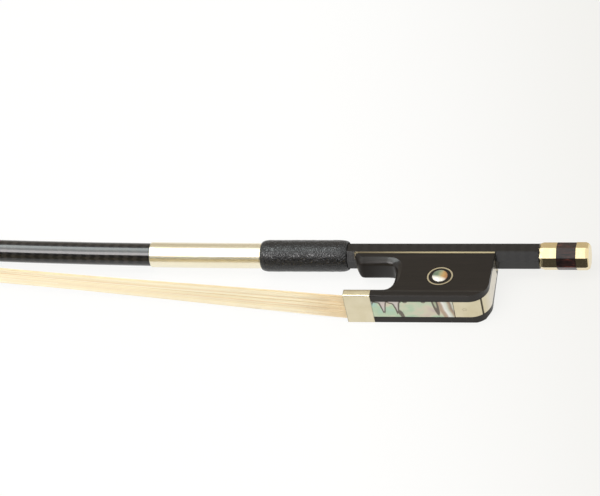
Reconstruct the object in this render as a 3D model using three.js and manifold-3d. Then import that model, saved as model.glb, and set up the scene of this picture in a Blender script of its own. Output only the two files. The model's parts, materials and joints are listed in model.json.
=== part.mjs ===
// Cello bow with a carbon stick and a French style ebony frog, lying on its side.
// Millimetres. X runs along the handle towards the screw button, Y points away from the hair, Z is up.
// While the pieces are made, x = 0 is the end face of the stick and y = z = 0 is the axis of its handle.
import * as THREE from "three";
import { mergeVertices } from "three/addons/utils/BufferGeometryUtils.js";
import Module from "manifold-3d";

const wasm = await Module();
wasm.setup();

// Shared fits
const glue_gap = 0.1;
const running_gap = 0.2;
const cut_overrun = 1;

// Stick: a carbon shaft, octagonal where the frog slides, round from the grip to the head
const handle_across_flats = 9.2;
const octagon_front_x = -73;
const round_start_x = -84;
const round_start_diameter = 9;
const winding_front_diameter = 8.6;
const neck_diameter = 6.4;
const camber_start_x = -92.5;
const camber_radius = 2740;
const neck_x = -656;
const shaft_end_x = -676;
const shaft_end_diameter = 3.6;
const handle_bore_radius = 3.4;
const handle_bore_end_gap = 1;

// Frog: its place on the handle and its outline seen from the side
const frog_top_front_x = -69.2;
const frog_back_x = -16;
const frog_bottom_y = -26.4;
const frog_half_width = 7.35;
const cheek_waist_half_width = 6.5;
const cheek_hollow_half_width = 5.35;
const rail_height = 2.3;
const cove_height = 3.2;
const edge_bevel = 0.3;
const tongue_tip_setback = 2.6;
const tongue_bottom_y = -7.7;
const tongue_nose_radius = 1.6;
const throat_centre_x = -55.95;
const throat_depth = 4.4;
const throat_squareness = 0.7;
const throat_rounding = 3.9;
const throat_rounding_depth = 2.2;
const tongue_front_rounding = 0.9;
const heel_radius = 7.3;

// Ferrule: the D shaped ring that spreads the hair
const ferrule_front_x = -69.1;
const ferrule_length = 9.95;
const ferrule_height = 5.5;
const ferrule_wall = 0.5;
const ferrule_side_height = 2.2;
const ferrule_corner_radius = 0.45;

// Slide, heel plates and the underslide
const slide_width = 8.1;
const slide_dovetail = 0.5;
const pearl_thickness = 1;
const slide_back_thickness = 1.2;
const slide_tab_length = 3;
const pearl_end_x = -28.7;
const plate_thickness = 0.8;
const plate_seam = THREE.MathUtils.degToRad(-50);
const heel_pin_setback = 1.6;
const back_pin_rise = 3.4;
const underslide_thickness = 0.5;
const underslide_top_y = -2.4;
const underslide_rim_height = 0.74;
const underslide_rim_width = 0.61;
const underslide_pin_front_setback = 6.2;
const underslide_pin_rear_setback = 5.4;
const pin_radius = 0.6;
const pin_length = 3.2;

// Hair, its knots and the wood that holds it
const hair_side_gap = 0.9;
const hair_free_width = 8;
const hair_thickness = 0.9;
const hair_narrowing_length = 125;
const hair_slope = 0.112;
const hair_lock_count = 7;
const hair_lock_depth_share = 0.22;
const hair_channel_depth = 1.3;
const mortise_front_x = -50.4;
const mortise_length = 11;
const mortise_depth = 5.6;
const knot_radius = 1.6;
const wedge_thickness = 1.35;
const wedge_length = 5.6;

// Eye: a pearl dot and, with ebony between them, a thin metal ring, let into each cheek
const eye_x = -34.6;
const eye_y = -15.3;
const eye_ring_radius = 4.75;
const eye_ring_width = 0.5;
const eye_dot_radius = 2.85;
const eye_depth_z = 4.7;

// Screw, eyelet and the bushes in the handle
const screw_radius = 1.6;
const screw_nose_radius = 1.2;
const screw_nose_setback = 0.8;
const eyelet_x = -36;
const eyelet_length = 5;
const eyelet_half_width = 2.6;
const eyelet_shank_radius = 1.9;
const eyelet_shank_length = 7.4;
const frog_travel_back = 8;
const frog_travel_forward = 1.5;
const bush_length = 9.6;
const front_bush_setback = 6.4;

// Button: wood between two metal rings, all octagonal, turned a little against the stick
const button_across_flats = 9.4;
const button_end_across_flats = 9.6;
const button_front_ring_length = 6.2;
const button_wood_length = 7.2;
const button_end_ring_length = 4.7;
const button_end_cap_thickness = 1.6;
const button_front_bevel = 1.3;
const button_end_bevel = 1.2;
const button_end_inset = 0.7;
const button_tenon_radius = 3.3;
const button_turn = THREE.MathUtils.degToRad(-15.5);
const screw_in_button = 10.5;

// Winding and thumb grip
const winding_front_x = -147.4;
const winding_back_x = -88;
const winding_radius = 4.75;
const winding_wall = 0.2;
const grip_front_x = -104.5;
const grip_back_x = -71.6;
const grip_radius = 5.95;
const grip_front_radius = 5.05;
const grip_front_round_length = 2.6;
const grip_end_radius = 5.25;
const grip_taper_length = 2.8;

// Head, in its own directions: along the hair away from the frog, and square to the hair away from it
const head_rear_x = -665;
const head_length = 25;
const head_height = 24.4;
const head_plate_half_width = 5.6;
const head_waist_half_width = 2.7;
const head_crown_half_width = 1.1;
const head_crown_share = 0.56;
const head_beak_height = 3.4;
const head_throat_reach = 15;
const tip_plate_thickness = 1;
const tip_liner_thickness = 0.8;
const tip_mortise_start = 3.6;
const tip_mortise_length = 9;
const tip_mortise_half_width = 3.9;
const tip_mortise_depth = 7.4;
const tip_knot_radius = 1.5;

const SIDES = 32;
const ROUND = 24;
const OCTAGON_SIDES = 8;
const CURVE_STEPS = 10;
const SHAFT_STEPS = 22;
const WINDING_STEPS = 5;
const THROAT_STEPS = 12;
const ROUNDING_STEPS = 4;
const HAIR_STEPS = 5;
const HAIR_FREE_STEPS = 18;

// Materials
const finish = (color, roughness, metalness = 0) =>
  new THREE.MeshStandardMaterial({ color, roughness, metalness });
const carbon = finish(0x35312d, 0.28);
const ebony = finish(0x2b2724, 0.38);
const pale_metal = finish(0xd9c9a6, 0.24, 1);
const steel = finish(0x9a9a98, 0.35, 1);
const brass = finish(0xb8924a, 0.35, 1);
const leather = finish(0x2c2a29, 0.6);
const wire = finish(0xe0d2b0, 0.3, 1);
const horsehair = finish(0xf0dfb4, 0.55);
const abalone = finish(0xc4cdb8, 0.2);
const pearl = finish(0xe6e2da, 0.22);
const ivory_resin = finish(0xece6d6, 0.4);
const maple = finish(0xb58a5a, 0.7);
const thread = finish(0x8a3a2a, 0.8);
const rosewood = finish(0x3a1d14, 0.35);

// Solids
function toSolid(geometry) {
  const bare = geometry.index ? geometry.toNonIndexed() : geometry.clone();
  const positions = new THREE.BufferGeometry().setAttribute("position", bare.getAttribute("position"));
  const merged = mergeVertices(positions, glue_gap / 1000);
  const index = merged.index.array;
  const kept = [];
  for (let i = 0; i < index.length; i += 3) {
    const [a, b, c] = [index[i], index[i + 1], index[i + 2]];
    if (a !== b && b !== c && c !== a) kept.push(a, b, c);
  }
  const build = (triangles) =>
    new wasm.Manifold(
      new wasm.Mesh({
        numProp: 3,
        vertProperties: merged.attributes.position.array,
        triVerts: new Uint32Array(triangles),
      }),
    );
  const made = build(kept);
  return made.volume() < 0 ? build(kept.reverse()) : made;
}

function fromSolid(made) {
  const data = made.getMesh();
  const positions = new Float32Array(data.numVert * 3);
  for (let i = 0; i < data.numVert; i++) {
    positions.set(data.vertProperties.subarray(i * data.numProp, i * data.numProp + 3), i * 3);
  }
  const geometry = new THREE.BufferGeometry()
    .setAttribute("position", new THREE.BufferAttribute(positions, 3))
    .setIndex(new THREE.BufferAttribute(new Uint32Array(data.triVerts), 1));
  geometry.computeVertexNormals();
  return geometry;
}

const joined = (first, ...rest) => rest.reduce((all, next) => all.add(next), first);
const without = (first, ...rest) => rest.reduce((all, next) => all.subtract(next), first);
const common = (first, ...rest) => rest.reduce((all, next) => all.intersect(next), first);

// A flat outline in the directions (y, z), drawn out along x
function bar(outline, from_x, to_x) {
  const geometry = new THREE.ExtrudeGeometry(outline, {
    depth: to_x - from_x,
    bevelEnabled: false,
    curveSegments: CURVE_STEPS,
  });
  const turn = new THREE.Matrix4().makeBasis(
    new THREE.Vector3(0, 1, 0),
    new THREE.Vector3(0, 0, 1),
    new THREE.Vector3(1, 0, 0),
  );
  return toSolid(geometry.applyMatrix4(turn).translate(from_x, 0, 0));
}

// A flat outline in the directions (x, y), drawn out evenly to both sides of the bow
function slab(outline, half_width) {
  const geometry = new THREE.ExtrudeGeometry(outline, {
    depth: 2 * half_width,
    bevelEnabled: false,
    curveSegments: CURVE_STEPS,
  });
  return toSolid(geometry.translate(0, 0, -half_width));
}

const box = (x0, x1, y0, y1, half_width) =>
  toSolid(
    new THREE.BoxGeometry(x1 - x0, y1 - y0, 2 * half_width).translate((x0 + x1) / 2, (y0 + y1) / 2, 0),
  );

// A closed profile of [x, radius] corners, turned round the handle axis
function turned(profile, sides = ROUND) {
  const points = profile.map(([x, radius]) => new THREE.Vector2(radius, x));
  return toSolid(new THREE.LatheGeometry(points, sides).rotateZ(-Math.PI / 2));
}

const rod_x = (x0, x1, radius, sides = ROUND) =>
  turned(
    [
      [x0, 0],
      [x0, radius],
      [x1, radius],
      [x1, 0],
    ],
    sides,
  );

const tube_x = (x0, x1, outer, inner) =>
  turned([
    [x0, inner],
    [x0, outer],
    [x1, outer],
    [x1, inner],
    [x0, inner],
  ]);

const rod_y = (x, y0, y1, radius, sides = ROUND) =>
  toSolid(new THREE.CylinderGeometry(radius, radius, y1 - y0, sides).translate(x, (y0 + y1) / 2, 0));

const rod_z = (x, y, z0, z1, radius, sides = ROUND) =>
  toSolid(
    new THREE.CylinderGeometry(radius, radius, z1 - z0, sides)
      .rotateX(Math.PI / 2)
      .translate(x, y, (z0 + z1) / 2),
  );

// The triangles that close a ring of points, found in the ring's own plane
function ring_faces(ring) {
  const normal = new THREE.Vector3();
  ring.forEach((p, i) => normal.add(p.clone().cross(ring[(i + 1) % ring.length])));
  const across = normal.cross(new THREE.Vector3(0, 0, 1)).normalize();
  const flat = ring.map((p) => new THREE.Vector2(p.dot(across), p.z));
  return THREE.ShapeUtils.triangulateShape(flat, []);
}

// Rings of the same count of points, skinned one to the next and closed at both ends
function loft(rings) {
  const count = rings[0].length;
  const positions = rings.flat().flatMap((p) => [p.x, p.y, p.z]);
  const index = [];
  for (let r = 0; r + 1 < rings.length; r++) {
    for (let i = 0; i < count; i++) {
      const a = r * count + i;
      const b = r * count + ((i + 1) % count);
      index.push(a, b, a + count, b, b + count, a + count);
    }
  }
  const last = (rings.length - 1) * count;
  for (const [a, b, c] of ring_faces(rings[0])) index.push(a, b, c);
  for (const [a, b, c] of ring_faces(rings.at(-1))) index.push(last + a, last + c, last + b);
  const geometry = new THREE.BufferGeometry()
    .setAttribute("position", new THREE.BufferAttribute(new Float32Array(positions), 3))
    .setIndex(index);
  return toSolid(geometry);
}

// An octagon in the directions (y, z) with a flat facing the hair, by its distance across flats
function octagon(across_flats, turn = 0) {
  const corner_radius = across_flats / 2 / Math.cos(Math.PI / OCTAGON_SIDES);
  const corners = [];
  for (let i = 0; i < OCTAGON_SIDES; i++) {
    const angle = turn + ((i + 0.5) * 2 * Math.PI) / OCTAGON_SIDES;
    corners.push(new THREE.Vector2(corner_radius * Math.cos(angle), corner_radius * Math.sin(angle)));
  }
  return new THREE.Shape(corners);
}

// The D outline shared by the ferrule and the arm of the frog inside it
function d_outline(half_width, bottom_y, side_height, height, corner) {
  const side_y = bottom_y + side_height;
  const outline = new THREE.Shape();
  outline.moveTo(bottom_y, -half_width + corner);
  outline.lineTo(bottom_y, half_width - corner);
  outline.absarc(bottom_y + corner, half_width - corner, corner, Math.PI, Math.PI / 2, true);
  outline.lineTo(side_y, half_width);
  outline.absellipse(side_y, 0, height - side_height, half_width, Math.PI / 2, -Math.PI / 2, true);
  outline.lineTo(bottom_y + corner, -half_width);
  outline.absarc(bottom_y + corner, -half_width + corner, corner, -Math.PI / 2, -Math.PI, true);
  return outline;
}

const bow = new THREE.Group();

function add(name, made, material) {
  const piece = new THREE.Mesh(fromSolid(made), material);
  piece.name = name;
  bow.add(piece);
  return piece;
}

// The camber: straight under the hand, then one long arc that lifts the shaft away from the hair
function camber_y(x) {
  const run = Math.max(0, camber_start_x - x);
  return camber_radius - Math.sqrt(camber_radius * camber_radius - run * run);
}

function camber_slope(x) {
  const run = Math.max(0, camber_start_x - x);
  return run / Math.sqrt(camber_radius * camber_radius - run * run);
}

function shaft_radius(x) {
  const mix = THREE.MathUtils.lerp;
  if (x > round_start_x) return round_start_diameter / 2;
  if (x > winding_front_x) {
    const part = (round_start_x - x) / (round_start_x - winding_front_x);
    return mix(round_start_diameter, winding_front_diameter, part) / 2;
  }
  if (x > neck_x) {
    const part = (winding_front_x - x) / (winding_front_x - neck_x);
    return mix(winding_front_diameter, neck_diameter, part) / 2;
  }
  return mix(neck_diameter, shaft_end_diameter, (neck_x - x) / (neck_x - shaft_end_x)) / 2;
}

// One ring square to the curved axis: the shaft's own, octagonal at the handle and round beyond it,
// or a sleeve's of the given radius
function shaft_ring(x, sleeve_radius = null) {
  const octagonal = THREE.MathUtils.smoothstep(x, round_start_x, octagon_front_x);
  const slope = camber_slope(x);
  const lean = Math.atan(slope);
  const flat_angle = (2 * Math.PI) / OCTAGON_SIDES;
  const ring = [];
  for (let i = 0; i < SIDES; i++) {
    const angle = (i * 2 * Math.PI) / SIDES;
    const off_flat = angle - flat_angle * Math.round(angle / flat_angle);
    const faceted = handle_across_flats / 2 / Math.cos(off_flat);
    const radius = sleeve_radius ?? THREE.MathUtils.lerp(shaft_radius(x), faceted, octagonal);
    const out = radius * Math.cos(angle);
    ring.push(
      new THREE.Vector3(
        x + out * Math.sin(lean),
        camber_y(x) + out * Math.cos(lean),
        radius * Math.sin(angle),
      ),
    );
  }
  return ring;
}

// Head: its rear corner sits on the hair line, and it is drawn along and square to the hair
const hair_exit_y = frog_bottom_y + ferrule_wall + glue_gap + hair_thickness / 2 + glue_gap;
const hair_line_y = (x) => hair_exit_y + hair_slope * (ferrule_front_x - x);
const hair_angle = Math.atan(hair_slope);
const head_base_y = hair_line_y(head_rear_x) + hair_thickness / 2 + glue_gap;

function head_point(along, out) {
  return new THREE.Vector2(
    head_rear_x - along * Math.cos(hair_angle) + out * Math.sin(hair_angle),
    head_base_y + along * Math.sin(hair_angle) + out * Math.cos(hair_angle),
  );
}

// The height of the shaft axis over the plate, in the head's own directions
function axis_out(along) {
  const x = head_rear_x - along * Math.cos(hair_angle);
  return (camber_y(x) - head_base_y - along * Math.sin(hair_angle)) / Math.cos(hair_angle);
}

// An outline of the head drawn in (along, out), set square to the hair and drawn out sideways
function head_slab(outline, half_width) {
  const geometry = new THREE.ExtrudeGeometry(outline, {
    depth: 2 * half_width,
    bevelEnabled: false,
    curveSegments: CURVE_STEPS,
  });
  return toSolid(place_head(geometry.translate(0, 0, -half_width)));
}

function place_head(geometry) {
  const origin = head_point(0, 0);
  const directions = new THREE.Matrix4().makeBasis(
    new THREE.Vector3(-Math.cos(hair_angle), Math.sin(hair_angle), 0),
    new THREE.Vector3(Math.sin(hair_angle), Math.cos(hair_angle), 0),
    new THREE.Vector3(0, 0, -1),
  );
  return geometry.applyMatrix4(directions).translate(origin.x, origin.y, 0);
}

// An outline drawn in (along, sideways), drawn out from one height over the plate to another
function head_plan(outline, from_out, to_out) {
  const geometry = new THREE.ExtrudeGeometry(outline, {
    depth: to_out - from_out,
    bevelEnabled: false,
    curveSegments: CURVE_STEPS,
  });
  return toSolid(place_head(geometry.rotateX(-Math.PI / 2).translate(0, from_out, 0)));
}

const head_box = (a0, a1, o0, o1, half_width) =>
  toSolid(
    place_head(
      new THREE.BoxGeometry(a1 - a0, o1 - o0, 2 * half_width).translate((a0 + a1) / 2, (o0 + o1) / 2, 0),
    ),
  );

// The shield outline of the tip plate, seen from the hair side
function plate_outline(inset = 0) {
  const half = head_plate_half_width - inset;
  const end = head_length + cut_overrun;
  const outline = new THREE.Shape();
  outline.moveTo(-cut_overrun, -half * 0.84);
  outline.lineTo(0, -half * 0.84);
  outline.quadraticCurveTo(head_length * 0.28, -half * 1.12, head_length * 0.6, -half * 0.78);
  outline.quadraticCurveTo(head_length * 0.86, -half * 0.45, end, -half * 0.12);
  outline.lineTo(end, half * 0.12);
  outline.quadraticCurveTo(head_length * 0.86, half * 0.45, head_length * 0.6, half * 0.78);
  outline.quadraticCurveTo(head_length * 0.28, half * 1.12, 0, half * 0.84);
  outline.lineTo(-cut_overrun, half * 0.84);
  return outline;
}

// A band of the sole of the head: flat under the mortise, then lifting towards the beak
function sole_band(low, high) {
  const flat_end = head_length * 0.55;
  const outline = new THREE.Shape();
  outline.moveTo(0, low);
  outline.lineTo(flat_end, low);
  outline.quadraticCurveTo(head_length * 0.82, low, head_length, low + head_beak_height);
  outline.lineTo(head_length, high + head_beak_height);
  outline.quadraticCurveTo(head_length * 0.82, high, flat_end, high);
  outline.lineTo(0, high);
  return outline;
}

function head_side_outline() {
  const sole = tip_plate_thickness + tip_liner_thickness + 2 * glue_gap;
  const neck_along = -head_throat_reach;
  const neck_out = axis_out(neck_along);
  const crown_along = head_length * head_crown_share;
  const outline = new THREE.Shape();
  outline.moveTo(0, sole);
  outline.bezierCurveTo(
    -head_length * 0.02,
    head_height * 0.42,
    -head_length * 0.1,
    neck_out - neck_diameter * 0.5,
    neck_along,
    neck_out - neck_diameter * 0.1,
  );
  outline.lineTo(neck_along, neck_out + neck_diameter * 0.1);
  outline.quadraticCurveTo(crown_along * 0.3, head_height * 0.98, crown_along, head_height);
  outline.quadraticCurveTo(
    crown_along + head_length * 0.14,
    head_height * 0.97,
    crown_along + head_length * 0.2,
    head_height * 0.8,
  );
  outline.bezierCurveTo(
    head_length * 0.86,
    head_height * 0.52,
    head_length * 0.88,
    head_height * 0.3,
    head_length,
    sole + head_beak_height,
  );
  outline.quadraticCurveTo(head_length * 0.82, sole, head_length * 0.55, sole);
  return outline;
}

// The head seen from its end: broad at the plate, narrow at the crown
function head_end_outline() {
  const high = head_height + cut_overrun;
  const waist = head_waist_half_width;
  const waist_out = head_height * 0.7;
  const flare_out = head_height * 0.3;
  const brow_out = head_height * 0.93;
  const outline = new THREE.Shape();
  outline.moveTo(head_plate_half_width, 0);
  outline.quadraticCurveTo(waist * 1.3, flare_out, waist, waist_out);
  outline.quadraticCurveTo(waist * 0.94, brow_out, head_crown_half_width, high);
  outline.lineTo(-head_crown_half_width, high);
  outline.quadraticCurveTo(-waist * 0.94, brow_out, -waist, waist_out);
  outline.quadraticCurveTo(-waist * 1.3, flare_out, -head_plate_half_width, 0);
  return outline;
}

function head_end_bar() {
  const depth = head_length + head_throat_reach + 2 * cut_overrun;
  const geometry = new THREE.ExtrudeGeometry(head_end_outline(), {
    depth,
    bevelEnabled: false,
    curveSegments: CURVE_STEPS,
  });
  geometry.rotateY(Math.PI / 2).translate(-head_throat_reach - cut_overrun, 0, 0);
  return toSolid(place_head(geometry));
}

// Stick: shaft, handle and head in one moulding, bored for the screw and slotted for the eyelet
const shaft_stations = [0, octagon_front_x];
for (let i = 1; i <= 3; i++) {
  shaft_stations.push(THREE.MathUtils.lerp(octagon_front_x, round_start_x, i / 3));
}
for (let i = 0; i <= SHAFT_STEPS; i++) {
  shaft_stations.push(THREE.MathUtils.lerp(camber_start_x, neck_x, i / SHAFT_STEPS));
}
shaft_stations.push(shaft_end_x);

const slot_front_x = eyelet_x - eyelet_length / 2 - frog_travel_forward - 2 * running_gap;
const slot_back_x = eyelet_x + eyelet_length / 2 + frog_travel_back + 2 * running_gap;
const slot_half_width = eyelet_half_width + 2 * running_gap;
const front_bush_back_x = slot_front_x - front_bush_setback;
const front_bush_front_x = front_bush_back_x - bush_length;
const handle_bore_depth = handle_bore_end_gap - front_bush_front_x;
const tip_mortise = head_box(
  tip_mortise_start,
  tip_mortise_start + tip_mortise_length,
  -cut_overrun,
  tip_mortise_depth,
  tip_mortise_half_width,
);

const head = common(
  head_slab(head_side_outline(), head_plate_half_width + cut_overrun),
  head_end_bar(),
  joined(
    head_plan(plate_outline(), -cut_overrun, head_height + cut_overrun),
    head_box(-head_throat_reach, cut_overrun / 2, 0, head_height + cut_overrun, head_plate_half_width),
  ),
);

const stick = without(
  joined(loft(shaft_stations.map((x) => shaft_ring(x))), head),
  rod_x(-handle_bore_depth, cut_overrun, handle_bore_radius),
  box(slot_front_x, slot_back_x, -handle_across_flats, 0, slot_half_width),
  tip_mortise,
);
add("stick", stick, carbon);

// Bushes in the handle bore: one carries the screw at the end, one its nose at the front
const bush_outer = handle_bore_radius - glue_gap;
add("rear_bush", tube_x(-bush_length, 0, bush_outer, screw_radius + running_gap), brass);
add(
  "front_bush",
  tube_x(front_bush_front_x, front_bush_back_x, bush_outer, screw_nose_radius + running_gap),
  brass,
);

// Winding and thumb grip on the shaft
const sleeve_ring = (radius) => (x) => shaft_ring(x, radius);
const winding_stations = [];
for (let i = 0; i <= WINDING_STEPS; i++) {
  winding_stations.push(THREE.MathUtils.lerp(winding_back_x, winding_front_x, i / WINDING_STEPS));
}
const winding_bore_stations = [
  winding_back_x + cut_overrun,
  ...winding_stations.slice(1, -1),
  winding_front_x - cut_overrun,
];
const winding = without(
  loft(winding_stations.map(sleeve_ring(winding_radius))),
  loft(winding_bore_stations.map(sleeve_ring(winding_radius - winding_wall))),
);
add("winding", winding, wire);
const handle_corner_radius = handle_across_flats / 2 / Math.cos(Math.PI / OCTAGON_SIDES);
const grip_bore_front = winding_radius + glue_gap;
const grip_bore_back = handle_corner_radius + glue_gap;
const grip_profile = [
  [grip_front_x, grip_bore_front],
  [grip_front_x, grip_front_radius],
];
for (let i = 1; i <= CURVE_STEPS / 2; i++) {
  const angle = (i / (CURVE_STEPS / 2)) * (Math.PI / 2);
  grip_profile.push([
    grip_front_x + grip_front_round_length * (1 - Math.cos(angle)),
    THREE.MathUtils.lerp(grip_front_radius, grip_radius, Math.sin(angle)),
  ]);
}
grip_profile.push(
  [grip_back_x - grip_taper_length, grip_radius],
  [grip_back_x - grip_taper_length * 0.6, THREE.MathUtils.lerp(grip_end_radius, grip_radius, 0.84)],
  [grip_back_x, grip_end_radius],
  [grip_back_x, grip_bore_back],
  [winding_back_x + glue_gap, grip_bore_back],
  [winding_back_x + glue_gap, grip_bore_front],
  [grip_front_x, grip_bore_front],
);
add("thumb_grip", turned(grip_profile, SIDES), leather);

// Tip: liner, face plate, hair knot and the plug that wedges it
const liner_low = tip_plate_thickness + glue_gap;
const head_sides = head_plan(plate_outline(), -cut_overrun, head_height);
const tip_liner = without(
  common(
    head_slab(sole_band(liner_low, liner_low + tip_liner_thickness), head_plate_half_width + cut_overrun),
    head_sides,
  ),
  tip_mortise,
);
const tip_plate = without(
  common(head_slab(sole_band(0, tip_plate_thickness), head_plate_half_width + cut_overrun), head_sides),
  tip_mortise,
);
add("tip_liner", tip_liner, ebony);
add("tip_plate", tip_plate, ivory_resin);
const tip_knot_along = tip_mortise_start + tip_mortise_length - tip_knot_radius - running_gap;
const tip_knot_out = tip_mortise_depth - tip_knot_radius - running_gap;
const tip_knot_place = head_point(tip_knot_along, tip_knot_out);
const tip_knot_reach = tip_mortise_half_width - running_gap;
add(
  "tip_hair_knot",
  rod_z(tip_knot_place.x, tip_knot_place.y, -tip_knot_reach, tip_knot_reach, tip_knot_radius, SIDES / 2),
  thread,
);
const tip_plug_start = tip_mortise_start + hair_thickness + 2 * running_gap;
add(
  "tip_plug",
  head_box(
    tip_plug_start,
    tip_mortise_start + tip_mortise_length - glue_gap,
    0,
    tip_knot_out - tip_knot_radius - glue_gap,
    tip_mortise_half_width - glue_gap,
  ),
  maple,
);

// Frog body: the side outline drawn out, narrowed by the section of rails, coves and cheeks
const channel_inner = handle_across_flats / 2 + running_gap;
const channel_outer = channel_inner + underslide_thickness;
const corner_share = Math.tan(Math.PI / OCTAGON_SIDES);
const rim_inner_z = channel_inner * Math.SQRT2 + underslide_top_y;
const rim_low_y = underslide_top_y - underslide_rim_height;
const cheek_top_half_width = rim_inner_z + underslide_rim_width;
const cheek_top_y = rim_low_y - glue_gap;
const arm_top_y = frog_bottom_y + ferrule_height;
const throat_half_height = (tongue_bottom_y - arm_top_y) / 2;
const throat_centre_y = arm_top_y + throat_half_height;
const ferrule_back_x = ferrule_front_x + ferrule_length;
const hair_width = 2 * (frog_half_width - ferrule_wall - hair_side_gap);
const tongue_tip_x = frog_top_front_x + tongue_tip_setback;

// The frog from the side, without its throat
function frog_side_outline() {
  const outline = new THREE.Shape();
  outline.moveTo(frog_top_front_x, cheek_top_y);
  outline.lineTo(frog_top_front_x, arm_top_y);
  outline.lineTo(throat_centre_x, arm_top_y);
  outline.lineTo(throat_centre_x, frog_bottom_y);
  outline.lineTo(frog_back_x - heel_radius, frog_bottom_y);
  outline.absarc(frog_back_x - heel_radius, frog_bottom_y + heel_radius, heel_radius, -Math.PI / 2, 0, false);
  outline.lineTo(frog_back_x, cheek_top_y);
  return outline;
}

const rail_y = frog_bottom_y + rail_height;
const cove_y = rail_y + cove_height;

function frog_end_outline() {
  const hollow_y = (cove_y + cheek_top_y) / 2;
  const outline = new THREE.Shape();
  outline.moveTo(frog_bottom_y, -frog_half_width + edge_bevel);
  outline.lineTo(frog_bottom_y, frog_half_width - edge_bevel);
  outline.lineTo(frog_bottom_y + edge_bevel, frog_half_width);
  outline.lineTo(rail_y, frog_half_width);
  outline.quadraticCurveTo(rail_y + edge_bevel, cheek_waist_half_width, cove_y, cheek_waist_half_width);
  outline.quadraticCurveTo(hollow_y, cheek_hollow_half_width, cheek_top_y, cheek_top_half_width);
  outline.lineTo(cheek_top_y + cut_overrun, cheek_top_half_width);
  outline.lineTo(cheek_top_y + cut_overrun, -cheek_top_half_width);
  outline.lineTo(cheek_top_y, -cheek_top_half_width);
  outline.quadraticCurveTo(hollow_y, -cheek_hollow_half_width, cove_y, -cheek_waist_half_width);
  outline.quadraticCurveTo(rail_y + edge_bevel, -cheek_waist_half_width, rail_y, -frog_half_width);
  outline.lineTo(frog_bottom_y + edge_bevel, -frog_half_width);
  return outline;
}

// How far out the hollowed cheek lies at a height
function cheek_half_width(y) {
  const part = THREE.MathUtils.clamp((y - cove_y) / (cheek_top_y - cove_y), 0, 1);
  const low = THREE.MathUtils.lerp(cheek_waist_half_width, cheek_hollow_half_width, part);
  const high = THREE.MathUtils.lerp(cheek_hollow_half_width, cheek_top_half_width, part);
  return THREE.MathUtils.lerp(low, high, part);
}

// The height of the round back of the arm, which falls away to both sides like the ferrule's
function arm_back_y(z) {
  const part = Math.min(1, Math.abs(z) / frog_half_width);
  const rise = ferrule_height - ferrule_side_height;
  return frog_bottom_y + ferrule_side_height + rise * Math.sqrt(1 - part * part);
}

// A sine or cosine that makes an arc a little squarer than an ellipse
const squared = (share) => Math.sign(share) * Math.abs(share) ** throat_squareness;

// The throat as one open ring: along the arm, round the back, under the tongue and up its nose.
// It widens by the outset, less so towards the arm, and lies the given depth under the cheek.
function throat_ring(outset, side, depth) {
  const front_x = frog_top_front_x - cut_overrun;
  const centre_y = throat_centre_y;
  const floor_y = arm_back_y(cheek_waist_half_width - depth);
  const points = [new THREE.Vector2(front_x, floor_y - cut_overrun)];
  points.push(new THREE.Vector2(throat_centre_x - cut_overrun, floor_y - cut_overrun));
  for (let i = 0; i <= THROAT_STEPS; i++) {
    const angle = THREE.MathUtils.lerp(-Math.PI / 2, Math.PI / 2, i / THROAT_STEPS);
    const widened = outset * THREE.MathUtils.smoothstep(angle, -Math.PI / 2, Math.PI / 6);
    const reach_y = (angle < 0 ? centre_y - floor_y : throat_half_height) + widened;
    points.push(
      new THREE.Vector2(
        throat_centre_x + (throat_depth + widened) * squared(Math.cos(angle)),
        centre_y + reach_y * squared(Math.sin(angle)),
      ),
    );
  }
  const front_outset = outset * (tongue_front_rounding / throat_rounding);
  const low_y = tongue_bottom_y + outset;
  const tip_x = tongue_tip_x + front_outset;
  const nose = new THREE.QuadraticBezierCurve(
    new THREE.Vector2(tip_x + tongue_nose_radius, low_y),
    new THREE.Vector2(tip_x, low_y),
    new THREE.Vector2(tip_x - tongue_nose_radius * 0.4, low_y + tongue_nose_radius),
  );
  points.push(...nose.getPoints(CURVE_STEPS / 2));
  points.push(new THREE.Vector2(frog_top_front_x + front_outset, cheek_top_y + cut_overrun));
  points.push(new THREE.Vector2(front_x, cheek_top_y + cut_overrun));
  return points.map((p) => new THREE.Vector3(p.x, p.y, side * (cheek_half_width(p.y) - depth)));
}

// The throat cuts square through the middle and opens towards each cheek in a rounded edge
function throat_cutter() {
  const half = [];
  for (let i = 0; i < ROUNDING_STEPS; i++) {
    const angle = (i / ROUNDING_STEPS) * (Math.PI / 2);
    half.push([throat_rounding * (1 - Math.cos(angle)), throat_rounding_depth * (1 - Math.sin(angle))]);
  }
  half.push([throat_rounding + cut_overrun / 2, -cut_overrun]);
  const left = half.map(([outset, depth]) => throat_ring(outset, 1, depth));
  const right = half.map(([outset, depth]) => throat_ring(outset, -1, depth));
  return loft([...right.reverse(), ...left]);
}

const throat = throat_cutter();
const frog_envelope = bar(frog_end_outline(), frog_top_front_x - cut_overrun, frog_back_x + cut_overrun);
const arm = common(
  bar(
    d_outline(frog_half_width, frog_bottom_y, ferrule_side_height, ferrule_height, ferrule_corner_radius),
    ferrule_back_x + glue_gap,
    throat_centre_x + throat_depth / 2,
  ),
  frog_envelope,
);

// Inside the ferrule the arm loses the ferrule's wall all round, and its lower part to hair and wedge
const channel_top_y = frog_bottom_y + pearl_thickness + slide_back_thickness + hair_channel_depth + glue_gap;
const inner_inset = ferrule_wall + glue_gap;
const arm_nose = common(
  bar(
    d_outline(
      frog_half_width - inner_inset,
      frog_bottom_y + inner_inset,
      ferrule_side_height - inner_inset,
      ferrule_height - 2 * inner_inset,
      ferrule_corner_radius,
    ),
    ferrule_front_x + glue_gap,
    throat_centre_x,
  ),
  box(ferrule_front_x, throat_centre_x, channel_top_y, arm_top_y, frog_half_width),
);

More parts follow.
